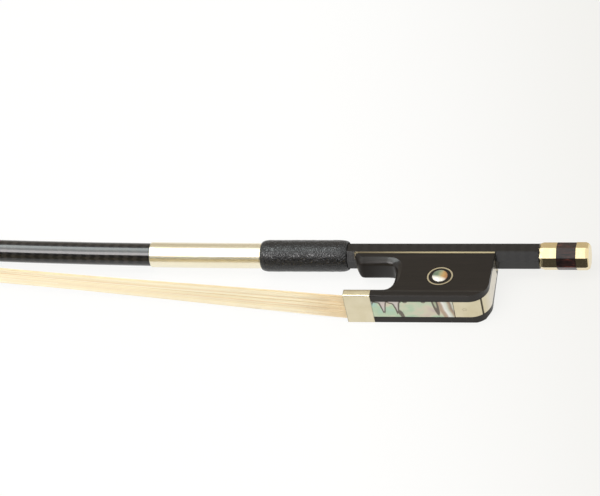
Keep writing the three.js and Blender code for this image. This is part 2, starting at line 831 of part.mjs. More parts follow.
// The dovetail that the slide runs in
function dovetail_outline(half_width, low, high) {
  const wide = half_width + slide_dovetail;
  return new THREE.Shape([
    new THREE.Vector2(low, -half_width),
    new THREE.Vector2(low, half_width),
    new THREE.Vector2(high, wide),
    new THREE.Vector2(high, -wide),
  ]);
}

const slide_top_y = frog_bottom_y + pearl_thickness + slide_back_thickness;
const slide_half = slide_width / 2;
const slide_slot = bar(
  dovetail_outline(slide_half + glue_gap, frog_bottom_y - glue_gap, slide_top_y + glue_gap),
  ferrule_front_x - cut_overrun,
  pearl_end_x,
);
const hair_slot = box(
  ferrule_front_x - cut_overrun,
  mortise_front_x + mortise_length,
  slide_top_y - glue_gap,
  channel_top_y,
  slide_half,
);
const hair_mortise = box(
  mortise_front_x,
  mortise_front_x + mortise_length,
  slide_top_y - glue_gap,
  channel_top_y + mortise_depth,
  slide_half,
);

// Heel and back plates: one band that follows the sole, the round heel and the back
function plate_band(outset, start_angle, end_angle, sole_from_x, back_to_y, thickness) {
  const cx = frog_back_x - heel_radius;
  const cy = frog_bottom_y + heel_radius;
  const outer = heel_radius + outset;
  const inner = heel_radius - thickness;
  const outline = new THREE.Shape();
  if (sole_from_x !== null) {
    outline.moveTo(sole_from_x, cy - inner);
    outline.lineTo(sole_from_x, cy - outer);
  }
  outline.absarc(cx, cy, outer, start_angle, end_angle, false);
  if (back_to_y !== null) {
    outline.lineTo(cx + outer, back_to_y);
    outline.lineTo(cx + inner, back_to_y);
  }
  outline.absarc(cx, cy, inner, end_angle, start_angle, true);
  return outline;
}

const seam_gap_angle = (2 * glue_gap) / heel_radius;
const back_plate_top_y = -channel_outer - 2 * glue_gap;
const plate_groove = slab(
  plate_band(
    cut_overrun,
    -Math.PI / 2,
    0,
    pearl_end_x - glue_gap,
    -channel_inner,
    plate_thickness + glue_gap,
  ),
  slide_half + glue_gap,
);
const heel_pin_x = frog_back_x - heel_radius - heel_pin_setback;
const back_pin_y = frog_bottom_y + heel_radius + back_pin_rise;
const pin_hole = pin_radius + glue_gap;
const heel_pin_hole = rod_y(
  heel_pin_x,
  frog_bottom_y - cut_overrun,
  frog_bottom_y + plate_thickness + pin_length,
  pin_hole,
  SIDES / 2,
);
const back_pin_hole = rod_x(
  frog_back_x - plate_thickness - pin_length,
  frog_back_x + cut_overrun,
  pin_hole,
  SIDES / 2,
).translate([0, back_pin_y, 0]);

// Holes for the underslide pins and for the shank of the eyelet
const underslide_pin_places = {
  front: frog_top_front_x + underslide_pin_front_setback,
  rear: frog_back_x - underslide_pin_rear_setback,
};
const underslide_pin_length = -tongue_bottom_y - channel_outer;
const underslide_pin_hole = (x) =>
  rod_y(x, -channel_inner - underslide_pin_length, 0, pin_hole, SIDES / 2);
const shank_bottom_y = -channel_inner - eyelet_shank_length;
const shank_hole = rod_y(eyelet_x, shank_bottom_y - running_gap, 0, eyelet_shank_radius + running_gap);

// The three lower flats of the handle at a distance from its axis, open upwards
function channel_outline(apothem) {
  const open_y = cheek_top_y + cut_overrun;
  const open_z = apothem * Math.SQRT2 + open_y;
  const flat_z = apothem * corner_share;
  return new THREE.Shape([
    new THREE.Vector2(open_y, -open_z),
    new THREE.Vector2(-apothem, -flat_z),
    new THREE.Vector2(-apothem, flat_z),
    new THREE.Vector2(open_y, open_z),
  ]);
}

// A short rod let into one cheek at the place of the eye
const eye_rod = (side, radius, floor_z) =>
  rod_z(
    eye_x,
    eye_y,
    side > 0 ? floor_z : -frog_half_width - cut_overrun,
    side > 0 ? frog_half_width + cut_overrun : -floor_z,
    radius,
    SIDES,
  );

// Recesses for the eyes: a groove for the ring and a pocket for the dot
const eye_recess = (side) =>
  joined(
    without(
      eye_rod(side, eye_ring_radius + glue_gap, eye_depth_z),
      eye_rod(side, eye_ring_radius - eye_ring_width - glue_gap, eye_depth_z - cut_overrun),
    ),
    eye_rod(side, eye_dot_radius + glue_gap, eye_depth_z),
  );

const frog = without(
  joined(
    without(common(slab(frog_side_outline(), frog_half_width), frog_envelope), throat),
    arm,
    arm_nose,
  ),
  bar(channel_outline(channel_outer + glue_gap), frog_top_front_x - cut_overrun, frog_back_x + cut_overrun),
  slide_slot,
  hair_slot,
  hair_mortise,
  plate_groove,
  heel_pin_hole,
  back_pin_hole,
  underslide_pin_hole(underslide_pin_places.front),
  underslide_pin_hole(underslide_pin_places.rear),
  shank_hole,
  eye_recess(1),
  eye_recess(-1),
);
add("frog", frog, ebony);

// Underslide: the thin metal lining bent to three flats of the handle, with a rim that shows over each
// cheek, held by two pins
function underslide_outline() {
  const flat_z = channel_inner * corner_share;
  const outer_flat_z = channel_outer * corner_share;
  const outer_z = channel_outer * Math.SQRT2 + rim_low_y;
  const points = [
    [underslide_top_y, rim_inner_z],
    [-channel_inner, flat_z],
    [-channel_inner, -flat_z],
    [underslide_top_y, -rim_inner_z],
    [underslide_top_y, -cheek_top_half_width],
    [rim_low_y, -cheek_top_half_width],
    [rim_low_y, -outer_z],
    [-channel_outer, -outer_flat_z],
    [-channel_outer, outer_flat_z],
    [rim_low_y, outer_z],
    [rim_low_y, cheek_top_half_width],
    [underslide_top_y, cheek_top_half_width],
  ];
  return new THREE.Shape(points.map(([y, z]) => new THREE.Vector2(y, z)));
}

const underslide = without(
  bar(underslide_outline(), frog_top_front_x, frog_back_x),
  throat,
  underslide_pin_hole(underslide_pin_places.front),
  underslide_pin_hole(underslide_pin_places.rear),
  shank_hole,
);
add("underslide", underslide, pale_metal);
for (const [place, x] of Object.entries(underslide_pin_places)) {
  add(
    "underslide_pin_" + place,
    rod_y(x, -channel_inner - underslide_pin_length + glue_gap, -channel_inner, pin_radius, SIDES / 2),
    pale_metal,
  );
}

// Ferrule
const ferrule = without(
  bar(
    d_outline(frog_half_width, frog_bottom_y, ferrule_side_height, ferrule_height, ferrule_corner_radius),
    ferrule_front_x,
    ferrule_back_x,
  ),
  bar(
    d_outline(
      frog_half_width - ferrule_wall,
      frog_bottom_y + ferrule_wall,
      ferrule_side_height - ferrule_wall,
      ferrule_height - 2 * ferrule_wall,
      ferrule_corner_radius,
    ),
    ferrule_front_x - cut_overrun,
    ferrule_back_x + cut_overrun,
  ),
);
add("ferrule", ferrule, pale_metal);

// Slide: abalone on an ebony back whose front runs into the ferrule
const pearl_top_y = frog_bottom_y + pearl_thickness;
const back_wide = slide_half + slide_dovetail * (pearl_thickness / (pearl_thickness + slide_back_thickness));
const pearl_slide = bar(
  new THREE.Shape([
    new THREE.Vector2(frog_bottom_y, -slide_half),
    new THREE.Vector2(frog_bottom_y, slide_half),
    new THREE.Vector2(pearl_top_y, back_wide),
    new THREE.Vector2(pearl_top_y, -back_wide),
  ]),
  ferrule_back_x + glue_gap,
  pearl_end_x - 2 * glue_gap,
);
add("pearl_slide", pearl_slide, abalone);
const slide_back = bar(
  new THREE.Shape([
    new THREE.Vector2(pearl_top_y + glue_gap / 2, -back_wide),
    new THREE.Vector2(pearl_top_y + glue_gap / 2, back_wide),
    new THREE.Vector2(slide_top_y, slide_half + slide_dovetail),
    new THREE.Vector2(slide_top_y, -slide_half - slide_dovetail),
  ]),
  ferrule_back_x - slide_tab_length,
  pearl_end_x - glue_gap,
);
add("slide_back", slide_back, ebony);

// Heel plate, back plate and their pins
const heel_plate = without(
  slab(
    plate_band(0, -Math.PI / 2, plate_seam - seam_gap_angle, pearl_end_x, null, plate_thickness),
    slide_half,
  ),
  heel_pin_hole,
);
const back_plate = without(
  slab(plate_band(0, plate_seam, 0, null, back_plate_top_y, plate_thickness), slide_half),
  back_pin_hole,
);
add("heel_plate", heel_plate, pale_metal);
add("back_plate", back_plate, pale_metal);
add(
  "heel_plate_pin",
  rod_y(heel_pin_x, frog_bottom_y, frog_bottom_y + pin_length, pin_radius, SIDES / 2),
  pale_metal,
);
add(
  "back_plate_pin",
  rod_x(frog_back_x - pin_length, frog_back_x, pin_radius, SIDES / 2).translate([0, back_pin_y, 0]),
  pale_metal,
);

// Eyes: the ring and the dot are ground flush with the cheek
for (const [name, side] of [
  ["left", 1],
  ["right", -1],
]) {
  const floor_z = eye_depth_z + glue_gap;
  const ring = without(
    common(eye_rod(side, eye_ring_radius, floor_z), frog_envelope),
    eye_rod(side, eye_ring_radius - eye_ring_width, floor_z - cut_overrun),
  );
  add("eye_ring_" + name, ring, pale_metal);
  add("eye_pearl_" + name, common(eye_rod(side, eye_dot_radius, floor_z), frog_envelope), pearl);
}

// Frog mortise: knot and plug
const frog_knot_x = mortise_front_x + mortise_length / 2;
const frog_knot_y = channel_top_y + mortise_depth - knot_radius - running_gap;
const frog_knot_reach = slide_half - running_gap;
add(
  "frog_hair_knot",
  rod_z(frog_knot_x, frog_knot_y, -frog_knot_reach, frog_knot_reach, knot_radius, SIDES / 2),
  thread,
);
add(
  "frog_plug",
  box(
    mortise_front_x + hair_thickness + 2 * running_gap,
    mortise_front_x + mortise_length - glue_gap,
    slide_top_y + glue_gap,
    frog_knot_y - knot_radius - glue_gap,
    slide_half - glue_gap,
  ),
  maple,
);

// Spread wedge between the hair and the arm, at the mouth of the ferrule
const wedge_top_y = channel_top_y - glue_gap;
const wedge_front_x = ferrule_front_x + glue_gap;
const ferrule_wedge = slab(
  new THREE.Shape([
    new THREE.Vector2(wedge_front_x, wedge_top_y),
    new THREE.Vector2(wedge_front_x, wedge_top_y - wedge_thickness),
    new THREE.Vector2(wedge_front_x + wedge_length, wedge_top_y - wedge_thickness / 4),
    new THREE.Vector2(wedge_front_x + wedge_length, wedge_top_y),
  ]),
  hair_width / 2,
);
add("ferrule_wedge", ferrule_wedge, maple);

// Eyelet: a saddle round the screw with a shank down into the frog
const saddle_bottom_y = eyelet_half_width - channel_inner * Math.SQRT2 + glue_gap;

function eyelet_outline() {
  const outline = new THREE.Shape();
  outline.moveTo(saddle_bottom_y, eyelet_half_width);
  outline.lineTo(saddle_bottom_y, -eyelet_half_width);
  outline.lineTo(0, -eyelet_half_width);
  outline.absarc(0, 0, eyelet_half_width, -Math.PI / 2, Math.PI / 2, false);
  return outline;
}

const eyelet = without(
  joined(
    bar(eyelet_outline(), eyelet_x - eyelet_length / 2, eyelet_x + eyelet_length / 2),
    rod_y(eyelet_x, shank_bottom_y, saddle_bottom_y + glue_gap, eyelet_shank_radius),
  ),
  rod_x(
    eyelet_x - eyelet_length,
    eyelet_x + eyelet_length,
    screw_radius + running_gap,
  ),
);
add("eyelet", eyelet, brass);

// Screw: its nose turns in the front bush and its tail is fixed in the button
const screw_nose_x = front_bush_front_x + screw_nose_setback;
const screw_shoulder_x = front_bush_back_x + running_gap;
const screw_end_x = running_gap + screw_in_button;
const screw = turned([
  [screw_nose_x, 0],
  [screw_nose_x, screw_nose_radius],
  [screw_shoulder_x, screw_nose_radius],
  [screw_shoulder_x, screw_radius],
  [screw_end_x, screw_radius],
  [screw_end_x, 0],
]);
add("screw", screw, steel);

// Button: octagonal wood with round tenons that the two rings slip over
const button_front_x = running_gap;
const wood_front_x = button_front_x + button_front_ring_length;
const wood_back_x = wood_front_x + button_wood_length;
const button_end_x = wood_back_x + button_end_ring_length;

function octagon_loft(stations) {
  return loft(
    stations.map(([x, across_flats]) =>
      octagon(across_flats, button_turn)
        .getPoints()
        .map((p) => new THREE.Vector3(x, p.x, p.y)),
    ),
  );
}

const tenon_back_x = button_end_x - button_end_cap_thickness;
const button_wood = without(
  joined(
    octagon_loft([
      [wood_front_x + glue_gap, button_across_flats],
      [wood_back_x - glue_gap, button_across_flats],
    ]),
    rod_x(button_front_x, tenon_back_x - glue_gap, button_tenon_radius),
  ),
  rod_x(button_front_x - cut_overrun, screw_end_x + glue_gap, screw_radius + glue_gap),
);
add("button_core", button_wood, rosewood);
const front_ring = without(
  octagon_loft([
    [button_front_x, handle_across_flats - 2 * edge_bevel],
    [button_front_x + button_front_bevel, button_across_flats],
    [wood_front_x, button_across_flats],
  ]),
  rod_x(button_front_x - cut_overrun, wood_front_x + cut_overrun, button_tenon_radius + glue_gap),
);
add("button_front_ring", front_ring, pale_metal);
const rear_ring = without(
  octagon_loft([
    [wood_back_x, button_end_across_flats],
    [button_end_x - button_end_bevel, button_end_across_flats],
    [button_end_x - button_end_bevel / 3, button_end_across_flats - button_end_inset],
    [button_end_x, button_end_across_flats - 2 * button_end_inset],
  ]),
  rod_x(wood_back_x - cut_overrun, tenon_back_x, button_tenon_radius + glue_gap),
);
add("button_rear_ring", rear_ring, pale_metal);

// Hair: one flat ribbon with ridges of locks. It comes down out of the frog's mortise, runs under the
// arm and through the ferrule, narrows to a free band, and turns up into the mortise of the head.
// A section is square to the way the hair runs, given by the angle that it turns up from straight on.
function hair_section(x, y, width, turn_up = 0) {
  const half = width / 2;
  const steps = 2 * hair_lock_count;
  const ring = [];
  for (const face of [1, -1]) {
    for (let i = 0; i <= steps; i++) {
      const z = face * THREE.MathUtils.lerp(-half, half, i / steps);
      const valley = i % 2 === 0 ? hair_lock_depth_share : 0;
      const rim = i === 0 || i === steps ? 0.5 : 1;
      const out = (face * hair_thickness * rim * (1 - valley)) / 2;
      ring.push(new THREE.Vector3(x + out * Math.sin(turn_up), y + out * Math.cos(turn_up), z));
    }
  }
  return ring;
}

const hair_in_frog_y = slide_top_y + glue_gap + hair_thickness / 2 + glue_gap / 2;
const frog_hair_width = 2 * (slide_half - 2 * glue_gap);
const tab_front_x = ferrule_back_x - slide_tab_length;
const rising_x = mortise_front_x + running_gap + hair_thickness / 2;
const hair_sections = [
  hair_section(rising_x, channel_top_y + 2 * hair_thickness, frog_hair_width, -Math.PI / 2),
  hair_section(rising_x, channel_top_y, frog_hair_width, -Math.PI / 2),
  hair_section(rising_x - glue_gap, (channel_top_y + 2 * hair_in_frog_y) / 3, frog_hair_width, -Math.PI / 4),
  hair_section(mortise_front_x - hair_thickness / 2, hair_in_frog_y, frog_hair_width),
  hair_section(ferrule_back_x, hair_in_frog_y, frog_hair_width),
  hair_section(tab_front_x, hair_in_frog_y, frog_hair_width),
  hair_section(ferrule_front_x + wedge_length / 3, hair_exit_y, hair_width),
  hair_section(ferrule_front_x, hair_exit_y, hair_width),
];
for (let i = 1; i <= HAIR_STEPS; i++) {
  const part = i / HAIR_STEPS;
  const x = ferrule_front_x - hair_narrowing_length * part;
  const width = THREE.MathUtils.lerp(hair_width, hair_free_width, THREE.MathUtils.smoothstep(part, 0, 1));
  hair_sections.push(hair_section(x, hair_line_y(x), width, -hair_angle));
}
const tip_hair_width = 2 * (tip_mortise_half_width - running_gap);
for (let i = 1; i < HAIR_FREE_STEPS; i++) {
  const x = THREE.MathUtils.lerp(ferrule_front_x - hair_narrowing_length, head_rear_x, i / HAIR_FREE_STEPS);
  hair_sections.push(hair_section(x, hair_line_y(x), hair_free_width, -hair_angle));
}
const under_plate = -glue_gap - hair_thickness / 2;
const into_head = tip_mortise_start + running_gap + hair_thickness / 2;
for (const [along, out, turn] of [
  [0, under_plate, 0],
  [tip_mortise_start - glue_gap, under_plate, 0],
  [into_head - glue_gap, under_plate / 2, Math.PI / 4],
  [into_head, hair_thickness / 2, Math.PI / 2],
  [into_head, 3 * hair_thickness, Math.PI / 2],
]) {
  const place = head_point(along, out);
  hair_sections.push(hair_section(place.x, place.y, tip_hair_width, -hair_angle - turn));
}
add("hair_ribbon", loft(hair_sections), horsehair);

// The bow lies on its side: the origin is under the middle of its box, on the surface it rests on
bow.updateMatrixWorld(true);
const bounds = new THREE.Box3().setFromObject(bow);
const middle = bounds.getCenter(new THREE.Vector3());
bow.position.set(-middle.x, -middle.y, -bounds.min.z);

export default bow;
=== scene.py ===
# A full-size cello bow lying on its side, seen from the hair side of its frog. It is put together here in
# the order a bow maker works: the stick, its winding and grip, the frog with its fittings, the hair.
import json
import math
import random

import bpy
from mathutils import Matrix, Vector, noise


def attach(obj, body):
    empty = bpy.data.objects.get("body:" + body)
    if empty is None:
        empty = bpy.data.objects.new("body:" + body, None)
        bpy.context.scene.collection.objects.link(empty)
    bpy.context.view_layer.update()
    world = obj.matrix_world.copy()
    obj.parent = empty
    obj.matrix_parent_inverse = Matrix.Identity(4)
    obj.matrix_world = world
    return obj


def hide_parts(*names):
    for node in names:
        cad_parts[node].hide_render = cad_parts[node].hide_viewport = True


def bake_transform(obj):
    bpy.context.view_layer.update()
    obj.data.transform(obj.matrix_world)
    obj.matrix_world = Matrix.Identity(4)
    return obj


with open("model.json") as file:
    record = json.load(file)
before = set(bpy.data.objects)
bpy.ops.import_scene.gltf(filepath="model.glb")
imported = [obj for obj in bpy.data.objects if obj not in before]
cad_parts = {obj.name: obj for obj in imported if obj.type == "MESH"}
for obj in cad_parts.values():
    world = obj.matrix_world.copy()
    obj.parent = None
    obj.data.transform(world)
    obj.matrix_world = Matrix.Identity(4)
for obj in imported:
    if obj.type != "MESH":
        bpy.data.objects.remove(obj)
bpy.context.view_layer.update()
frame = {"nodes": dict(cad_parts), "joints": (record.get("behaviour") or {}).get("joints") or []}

# ---------------------------------------------------------------------------------------------------------
# The camera stands over the hair side of the frog, a little towards the button, and looks down on the bow.
# Lengths are in millimetres from the end of the stick, on the axis of its handle; turns are in radians.
mm = 0.001
stick_end = Vector(next(j for j in frame["joints"] if j["name"] == "screw_turn")["pos_m"])


def on_bow(x, y, z):
    return stick_end + Vector((x, y, z)) * mm


def facing(across, up, out):
    """The turn that lays an object's own x, y and z along these three directions."""
    return Matrix((across, up, out)).transposed().to_quaternion()


camera_turn, camera_rise, camera_roll = 0.3312, 0.7980, -0.2408
camera_distance = 1302.64 * mm
looked_at = on_bow(-90.91, 3.97, 0)
towards_camera = Vector((
    math.sin(camera_turn) * math.cos(camera_rise),
    -math.cos(camera_turn) * math.cos(camera_rise),
    math.sin(camera_rise),
))
level = Vector((math.cos(camera_turn), math.sin(camera_turn), 0))
upright = towards_camera.cross(level)
picture_right = level * math.cos(camera_roll) + upright * math.sin(camera_roll)
picture_up = upright * math.cos(camera_roll) - level * math.sin(camera_roll)

lens = bpy.data.cameras.new("camera")
lens.sensor_width = 36
lens.lens = 210
lens.clip_start, lens.clip_end = 0.05, 50
camera = bpy.data.objects.new("camera", lens)
bpy.context.collection.objects.link(camera)
camera.rotation_mode = "QUATERNION"
camera.location = looked_at + towards_camera * camera_distance
camera.rotation_quaternion = facing(picture_right, picture_up, towards_camera)
bpy.context.scene.camera = camera
bpy.context.scene.view_settings.view_transform = "Standard"


# ---------------------------------------------------------------------------------------------------------
# The table: a plain off-white board under the bow, with a painted falloff of light that makes it a little
# greyer past the button. It is clear from below, so the bow can be looked at from there too.
def nothing_selected():
    if bpy.context.object and bpy.context.object.mode != "OBJECT":
        bpy.ops.object.mode_set(mode="OBJECT")
    bpy.ops.object.select_all(action="DESELECT")


class Shade:
    """A value inside a finish. Sums, products and comparisons of it add the Math nodes they need."""

    def __init__(self, finish, socket):
        self.finish, self.socket = finish, socket

    def worked(self, operation, first, second=0.0):
        return self.finish.node("Math", {"operation": operation}, {0: first, 1: second})

    def __add__(self, other):
        return self.worked("ADD", self, other)

    __radd__ = __add__

    def __sub__(self, other):
        return self.worked("SUBTRACT", self, other)

    def __rsub__(self, other):
        return self.worked("SUBTRACT", other, self)

    def __mul__(self, other):
        return self.worked("MULTIPLY", self, other)

    __rmul__ = __mul__

    def __truediv__(self, other):
        return self.worked("DIVIDE", self, other)

    def __rtruediv__(self, other):
        return self.worked("DIVIDE", other, self)

    def __pow__(self, other):
        return self.worked("POWER", self, other)

    def __mod__(self, other):
        return self.worked("FLOORED_MODULO", self, other)

    def __gt__(self, other):
        return self.worked("GREATER_THAN", self, other)

    def __lt__(self, other):
        return self.worked("LESS_THAN", self, other)

    def of(self, operation):
        return self.worked(operation, self)

    def at_least(self, other):
        return self.worked("MAXIMUM", self, other)

    def angle_over(self, run):
        return self.worked("ARCTAN2", self, run)


class Finish:
    """The surface of one kind of piece: a principled shader, with what changes over the surface fed to it."""

    def __init__(self, name, **sockets):
        self.material = bpy.data.materials.new(name)
        self.material.use_nodes = True
        self.tree = self.material.node_tree
        self.shader = self.tree.nodes["Principled BSDF"]
        self.feed(**sockets)

    def join(self, socket, value):
        if isinstance(value, Shade):
            self.tree.links.new(value.socket, socket)
        elif isinstance(value, (tuple, Vector)) and len(socket.default_value) > len(value):
            socket.default_value = (*value, 1)
        else:
            socket.default_value = value

    def feed(self, **sockets):
        for socket, value in sockets.items():
            self.join(self.shader.inputs[socket.replace("_", " ")], value)

    def node(self, kind, settings={}, sockets={}, output=0):
        made = self.tree.nodes.new("ShaderNode" + kind)
        for setting, value in settings.items():
            if setting == "stops":
                elements = made.color_ramp.elements
                for place, colour in value[2:]:
                    elements.new(place)
                for stop, (place, colour) in zip(elements, value):
                    stop.position, stop.color = place, (*colour, 1)
            else:
                setattr(made, setting, value)
        for socket, value in sockets.items():
            self.join(made.inputs[socket], value)
        return Shade(self, made.outputs[output])

    def mixed(self, share, first, second, way="MIX"):
        return self.node("Mix", {"data_type": "RGBA", "blend_type": way}, {0: share, 6: first, 7: second}, 2)

    def ramp(self, value, *stops):
        """Colours laid along a value. A stop is its place on it, then its red, green and blue."""
        return self.node("ValToRGB", {"stops": [(place, dye(*rgb)) for place, *rgb in stops]}, {0: value})

    def places(self, centre=stick_end):
        """Where each spot of the surface is, in millimetres from the centre."""
        spot = self.node("TexCoord", {}, {}, "Object")
        moved = self.node("VectorMath", {"operation": "SUBTRACT"}, {0: spot, 1: centre})
        return self.node("Mapping", {}, {0: moved, 3: Vector((1, 1, 1)) / mm})

    def scaled(self, vector, *factors):
        return self.node("VectorMath", {"operation": "MULTIPLY"}, {0: vector, 1: factors})

    def split(self, vector):
        apart = self.tree.nodes.new("ShaderNodeSeparateXYZ")
        self.join(apart.inputs[0], vector)
        return [Shade(self, output) for output in apart.outputs]

    def grainy(self, vector, size, detail=2.0, output=0):
        return self.node("TexNoise", {}, {"Vector": vector, "Scale": 1 / size, "Detail": detail}, output)

    def eased(self, value, low, high, to_low=0.0, to_high=1.0):
        return self.node(
            "MapRange",
            {"interpolation_type": "SMOOTHSTEP"},
            {0: value, 1: low, 2: high, 3: to_low, 4: to_high},
        )

    def raised(self, height, depth, strength=1.0):
        """Relief of the surface, depth in millimetres."""
        return self.node("Bump", {}, {"Strength": strength, "Distance": depth * mm, "Height": height})


def dye(red, green, blue):
    """A colour as a screen shows it, 0 to 255 each, as the shares of light that a shader takes."""
    shares = (value / 255 for value in (red, green, blue))
    return tuple(share / 12.92 if share <= 0.04045 else ((share + 0.055) / 1.055) ** 2.4 for share in shares)


table_side = 9000
nothing_selected()
bpy.ops.mesh.primitive_plane_add(size=table_side * mm, location=(stick_end.x, stick_end.y, 0))
table = bpy.context.object
table.name = "table"
board = Finish("table_board", Base_Color=dye(247, 246, 243), Roughness=0.9, Specular_IOR_Level=0.0)
x, y, _ = board.split(board.places(Vector((0, 0, 0))))
# Painted shade: the board greys past the button, as if the light fell off there
tone = board.mixed(board.eased(x + y * 0.2, -100, 90), dye(255, 255, 254), dye(237, 236, 232))
paper_share, paper_strength = 0.88, 1.0
paper = board.node("Emission", {}, {0: tone, 1: paper_strength})
looked_at_board = board.node("LightPath", {}, {}, "Is Camera Ray")
for ray in ("Is Glossy Ray", "Is Transmission Ray"):
    looked_at_board = looked_at_board.at_least(board.node("LightPath", {}, {}, ray))
matt = Shade(board, board.shader.outputs[0])
lit = board.node("MixShader", {}, {0: looked_at_board * paper_share, 1: matt, 2: paper})
from_below = board.node("NewGeometry", {}, {}, "Backfacing")
see_through = board.node("BsdfTransparent")
lit_or_clear = board.node("MixShader", {}, {0: from_below, 1: lit, 2: see_through})
board.join(board.tree.nodes["Material Output"].inputs[0], lit_or_clear)
table.data.materials.append(board.material)


# ---------------------------------------------------------------------------------------------------------
# The light of a small studio: a soft box over the bow, a narrow one on its hair side, and white paper round
# them. What metal and polish mirror of it is set with cards that only reflections see: the fronts of the two
# boxes, paper past the button, a dark card low in front, a warm grey one low behind, and a small dark one.
def hung_over(angle, distance, sideways):
    """A place round the bow, by its angle from level behind the bow, over the top, to the hair side."""
    out = Vector((0, math.cos(math.radians(angle)), math.sin(math.radians(angle))))
    along = Vector((1, 0, 0))
    return looked_at + out * distance + along * sideways, facing(along, out.cross(along), out)


# Lamps and cards are measured in metres, from the middle of the picture
box_distance, card_distance, box_sideways = 1.0, 1.4, -0.36


def soft_box(name, angle, width, length, radiance, colour):
    lamp = bpy.data.lights.new(name, "AREA")
    lamp.shape = "RECTANGLE"
    lamp.size, lamp.size_y = width, length
    lamp.energy, lamp.color = radiance * width * length * math.pi, colour
    box = bpy.data.objects.new(name, lamp)
    bpy.context.collection.objects.link(box)
    box.rotation_mode = "QUATERNION"
    box.location, box.rotation_quaternion = hung_over(angle, box_distance, box_sideways)
    box.visible_camera = box.visible_glossy = False


soft_box("wide_box", 99, 0.7, 0.62, 3.4, (1, 0.985, 0.96))
soft_box("narrow_box", 129, 0.7, 0.13, 8.0, (1, 0.97, 0.95))


def card(name, place, turn, width, length, colour, strength):
    nothing_selected()
    bpy.ops.mesh.primitive_plane_add(size=1)
    sheet = bpy.context.object
    sheet.name = name
    sheet.scale = (width, length, 1)
    sheet.rotation_mode = "QUATERNION"
    sheet.location, sheet.rotation_quaternion = place, turn
    paint = Finish(name, Base_Color=(0, 0, 0), Roughness=1.0, Specular_IOR_Level=0.0)
    paint.feed(Emission_Color=colour, Emission_Strength=strength)
    sheet.data.materials.append(paint.material)
    sheet.visible_camera = sheet.visible_diffuse = sheet.visible_shadow = sheet.visible_transmission = False


dark_tint = (1.0, 0.96, 0.92)
for name, angle, distance, sideways, width, length, colour, strength in (
    ("wide_front", 80, box_distance, -0.454, 0.51, 0.5, (0.93, 1.0, 0.99), 8.4),
    ("dim_front", 105.5, box_distance, -0.454, 0.51, 0.41, (0.97, 1.0, 0.99), 5.2),
    ("narrow_front", 129.5, box_distance, -0.4745, 0.469, 0.445, (1.0, 0.97, 0.97), 11.0),
    ("narrow_end", 125.5, box_distance, -0.2195, 0.041, 0.3, (1.0, 0.97, 0.97), 10.0),
    ("end_front", 98, box_distance, -0.064, 0.27, 1.0, (1.0, 0.99, 0.96), 1.4),
    ("dark_card", 166, card_distance, -0.5, 2.0, 1.1, dark_tint, 0.12),
    ("grey_card", 18, card_distance, -0.5, 2.4, 2.0, (1.0, 0.9, 0.76), 0.6),
):
    card(name, *hung_over(angle, distance, sideways), width, length, colour, strength)
beside_button = on_bow(14, -14, -1.2)
upright_turn = Matrix.Rotation(math.radians(90), 3, "X").to_quaternion()
card("small_card", beside_button, upright_turn, 0.044, 0.0116, dark_tint, 0.06)

world = bpy.data.worlds.new("studio")
bpy.context.scene.world = world
world.use_nodes = True
sky = world.node_tree.nodes["Background"]
sky.inputs["Color"].default_value = (1, 0.995, 0.985, 1)
rays = world.node_tree.nodes.new("ShaderNodeLightPath")
seen = None
for ray in ("Is Camera Ray", "Is Glossy Ray", "Is Transmission Ray"):
    either = world.node_tree.nodes.new("ShaderNodeMath")
    either.operation = "MAXIMUM"
    world.node_tree.links.new(rays.outputs[ray], either.inputs[0])
    if seen:
        world.node_tree.links.new(seen, either.inputs[1])
    seen = either.outputs[0]
fill_light, paper_light = 0.42, 1.0
level_of_light = world.node_tree.nodes.new("ShaderNodeMapRange")
level_of_light.inputs["To Min"].default_value = fill_light
level_of_light.inputs["To Max"].default_value = paper_light
world.node_tree.links.new(seen, level_of_light.inputs["Value"])
world.node_tree.links.new(level_of_light.outputs[0], sky.inputs["Strength"])


# ---------------------------------------------------------------------------------------------------------
# The stick: carbon twill laid round a core and cured in one piece from handle to head, then clear coated.
# It is an octagon where the frog slides, and round and cambered from the grip on.
def closed_skin(name, sharp_above):
    """The CAD nodes come as loose triangles: this closes them and keeps only their real edges sharp."""
    tree = bpy.data.node_groups.new(name, "GeometryNodeTree")
    for in_out in ("INPUT", "OUTPUT"):
        tree.interface.new_socket("Skin", in_out=in_out, socket_type="NodeSocketGeometry")
    steps = [
        tree.nodes.new(kind)
        for kind in (
            "NodeGroupInput", "GeometryNodeMergeByDistance", "GeometryNodeRemoveAttribute",
            "GeometryNodeSetShadeSmooth", "GeometryNodeSetShadeSmooth", "NodeGroupOutput",
        )
    ]
    for before, after in zip(steps, steps[1:]):
        tree.links.new(before.outputs[0], after.inputs[0])
    _, merged, bare, smooth, sharp, _ = steps
    merged.inputs["Distance"].default_value = 0.001 * mm
    bare.inputs["Name"].default_value = "custom_normal"
    smooth.domain, sharp.domain = "FACE", "EDGE"
    smooth.inputs["Shade Smooth"].default_value = True
    sharp.inputs["Shade Smooth"].default_value = False
    fold = tree.nodes.new("GeometryNodeInputMeshEdgeAngle")
    folded = tree.nodes.new("FunctionNodeCompare")
    folded.data_type, folded.operation = "FLOAT", "GREATER_THAN"
    folded.inputs[1].default_value = math.radians(sharp_above)
    tree.links.new(fold.outputs[0], folded.inputs[0])
    tree.links.new(folded.outputs[0], sharp.inputs["Selection"])
    return tree


skin = closed_skin("skin", sharp_above=28)
crisp_skin = closed_skin("crisp_skin", sharp_above=8)
soft_skin = closed_skin("soft_skin", sharp_above=38)


def finished(finish, *nodes, skin=skin, weighting="FACE_AREA"):
    """Closes these CAD nodes, evens out their shading and gives them the finish."""
    for name in nodes:
        piece = frame["nodes"][name]
        close = piece.modifiers.new("closed", "NODES")
        close.node_group = skin
        even = piece.modifiers.new("even_shading", "WEIGHTED_NORMAL")
        even.mode, even.keep_sharp = weighting, True
        for place in piece.material_slots:
            place.link = "OBJECT"
            place.material = finish.material


camber_start, camber_radius = -92.5, 2740.0


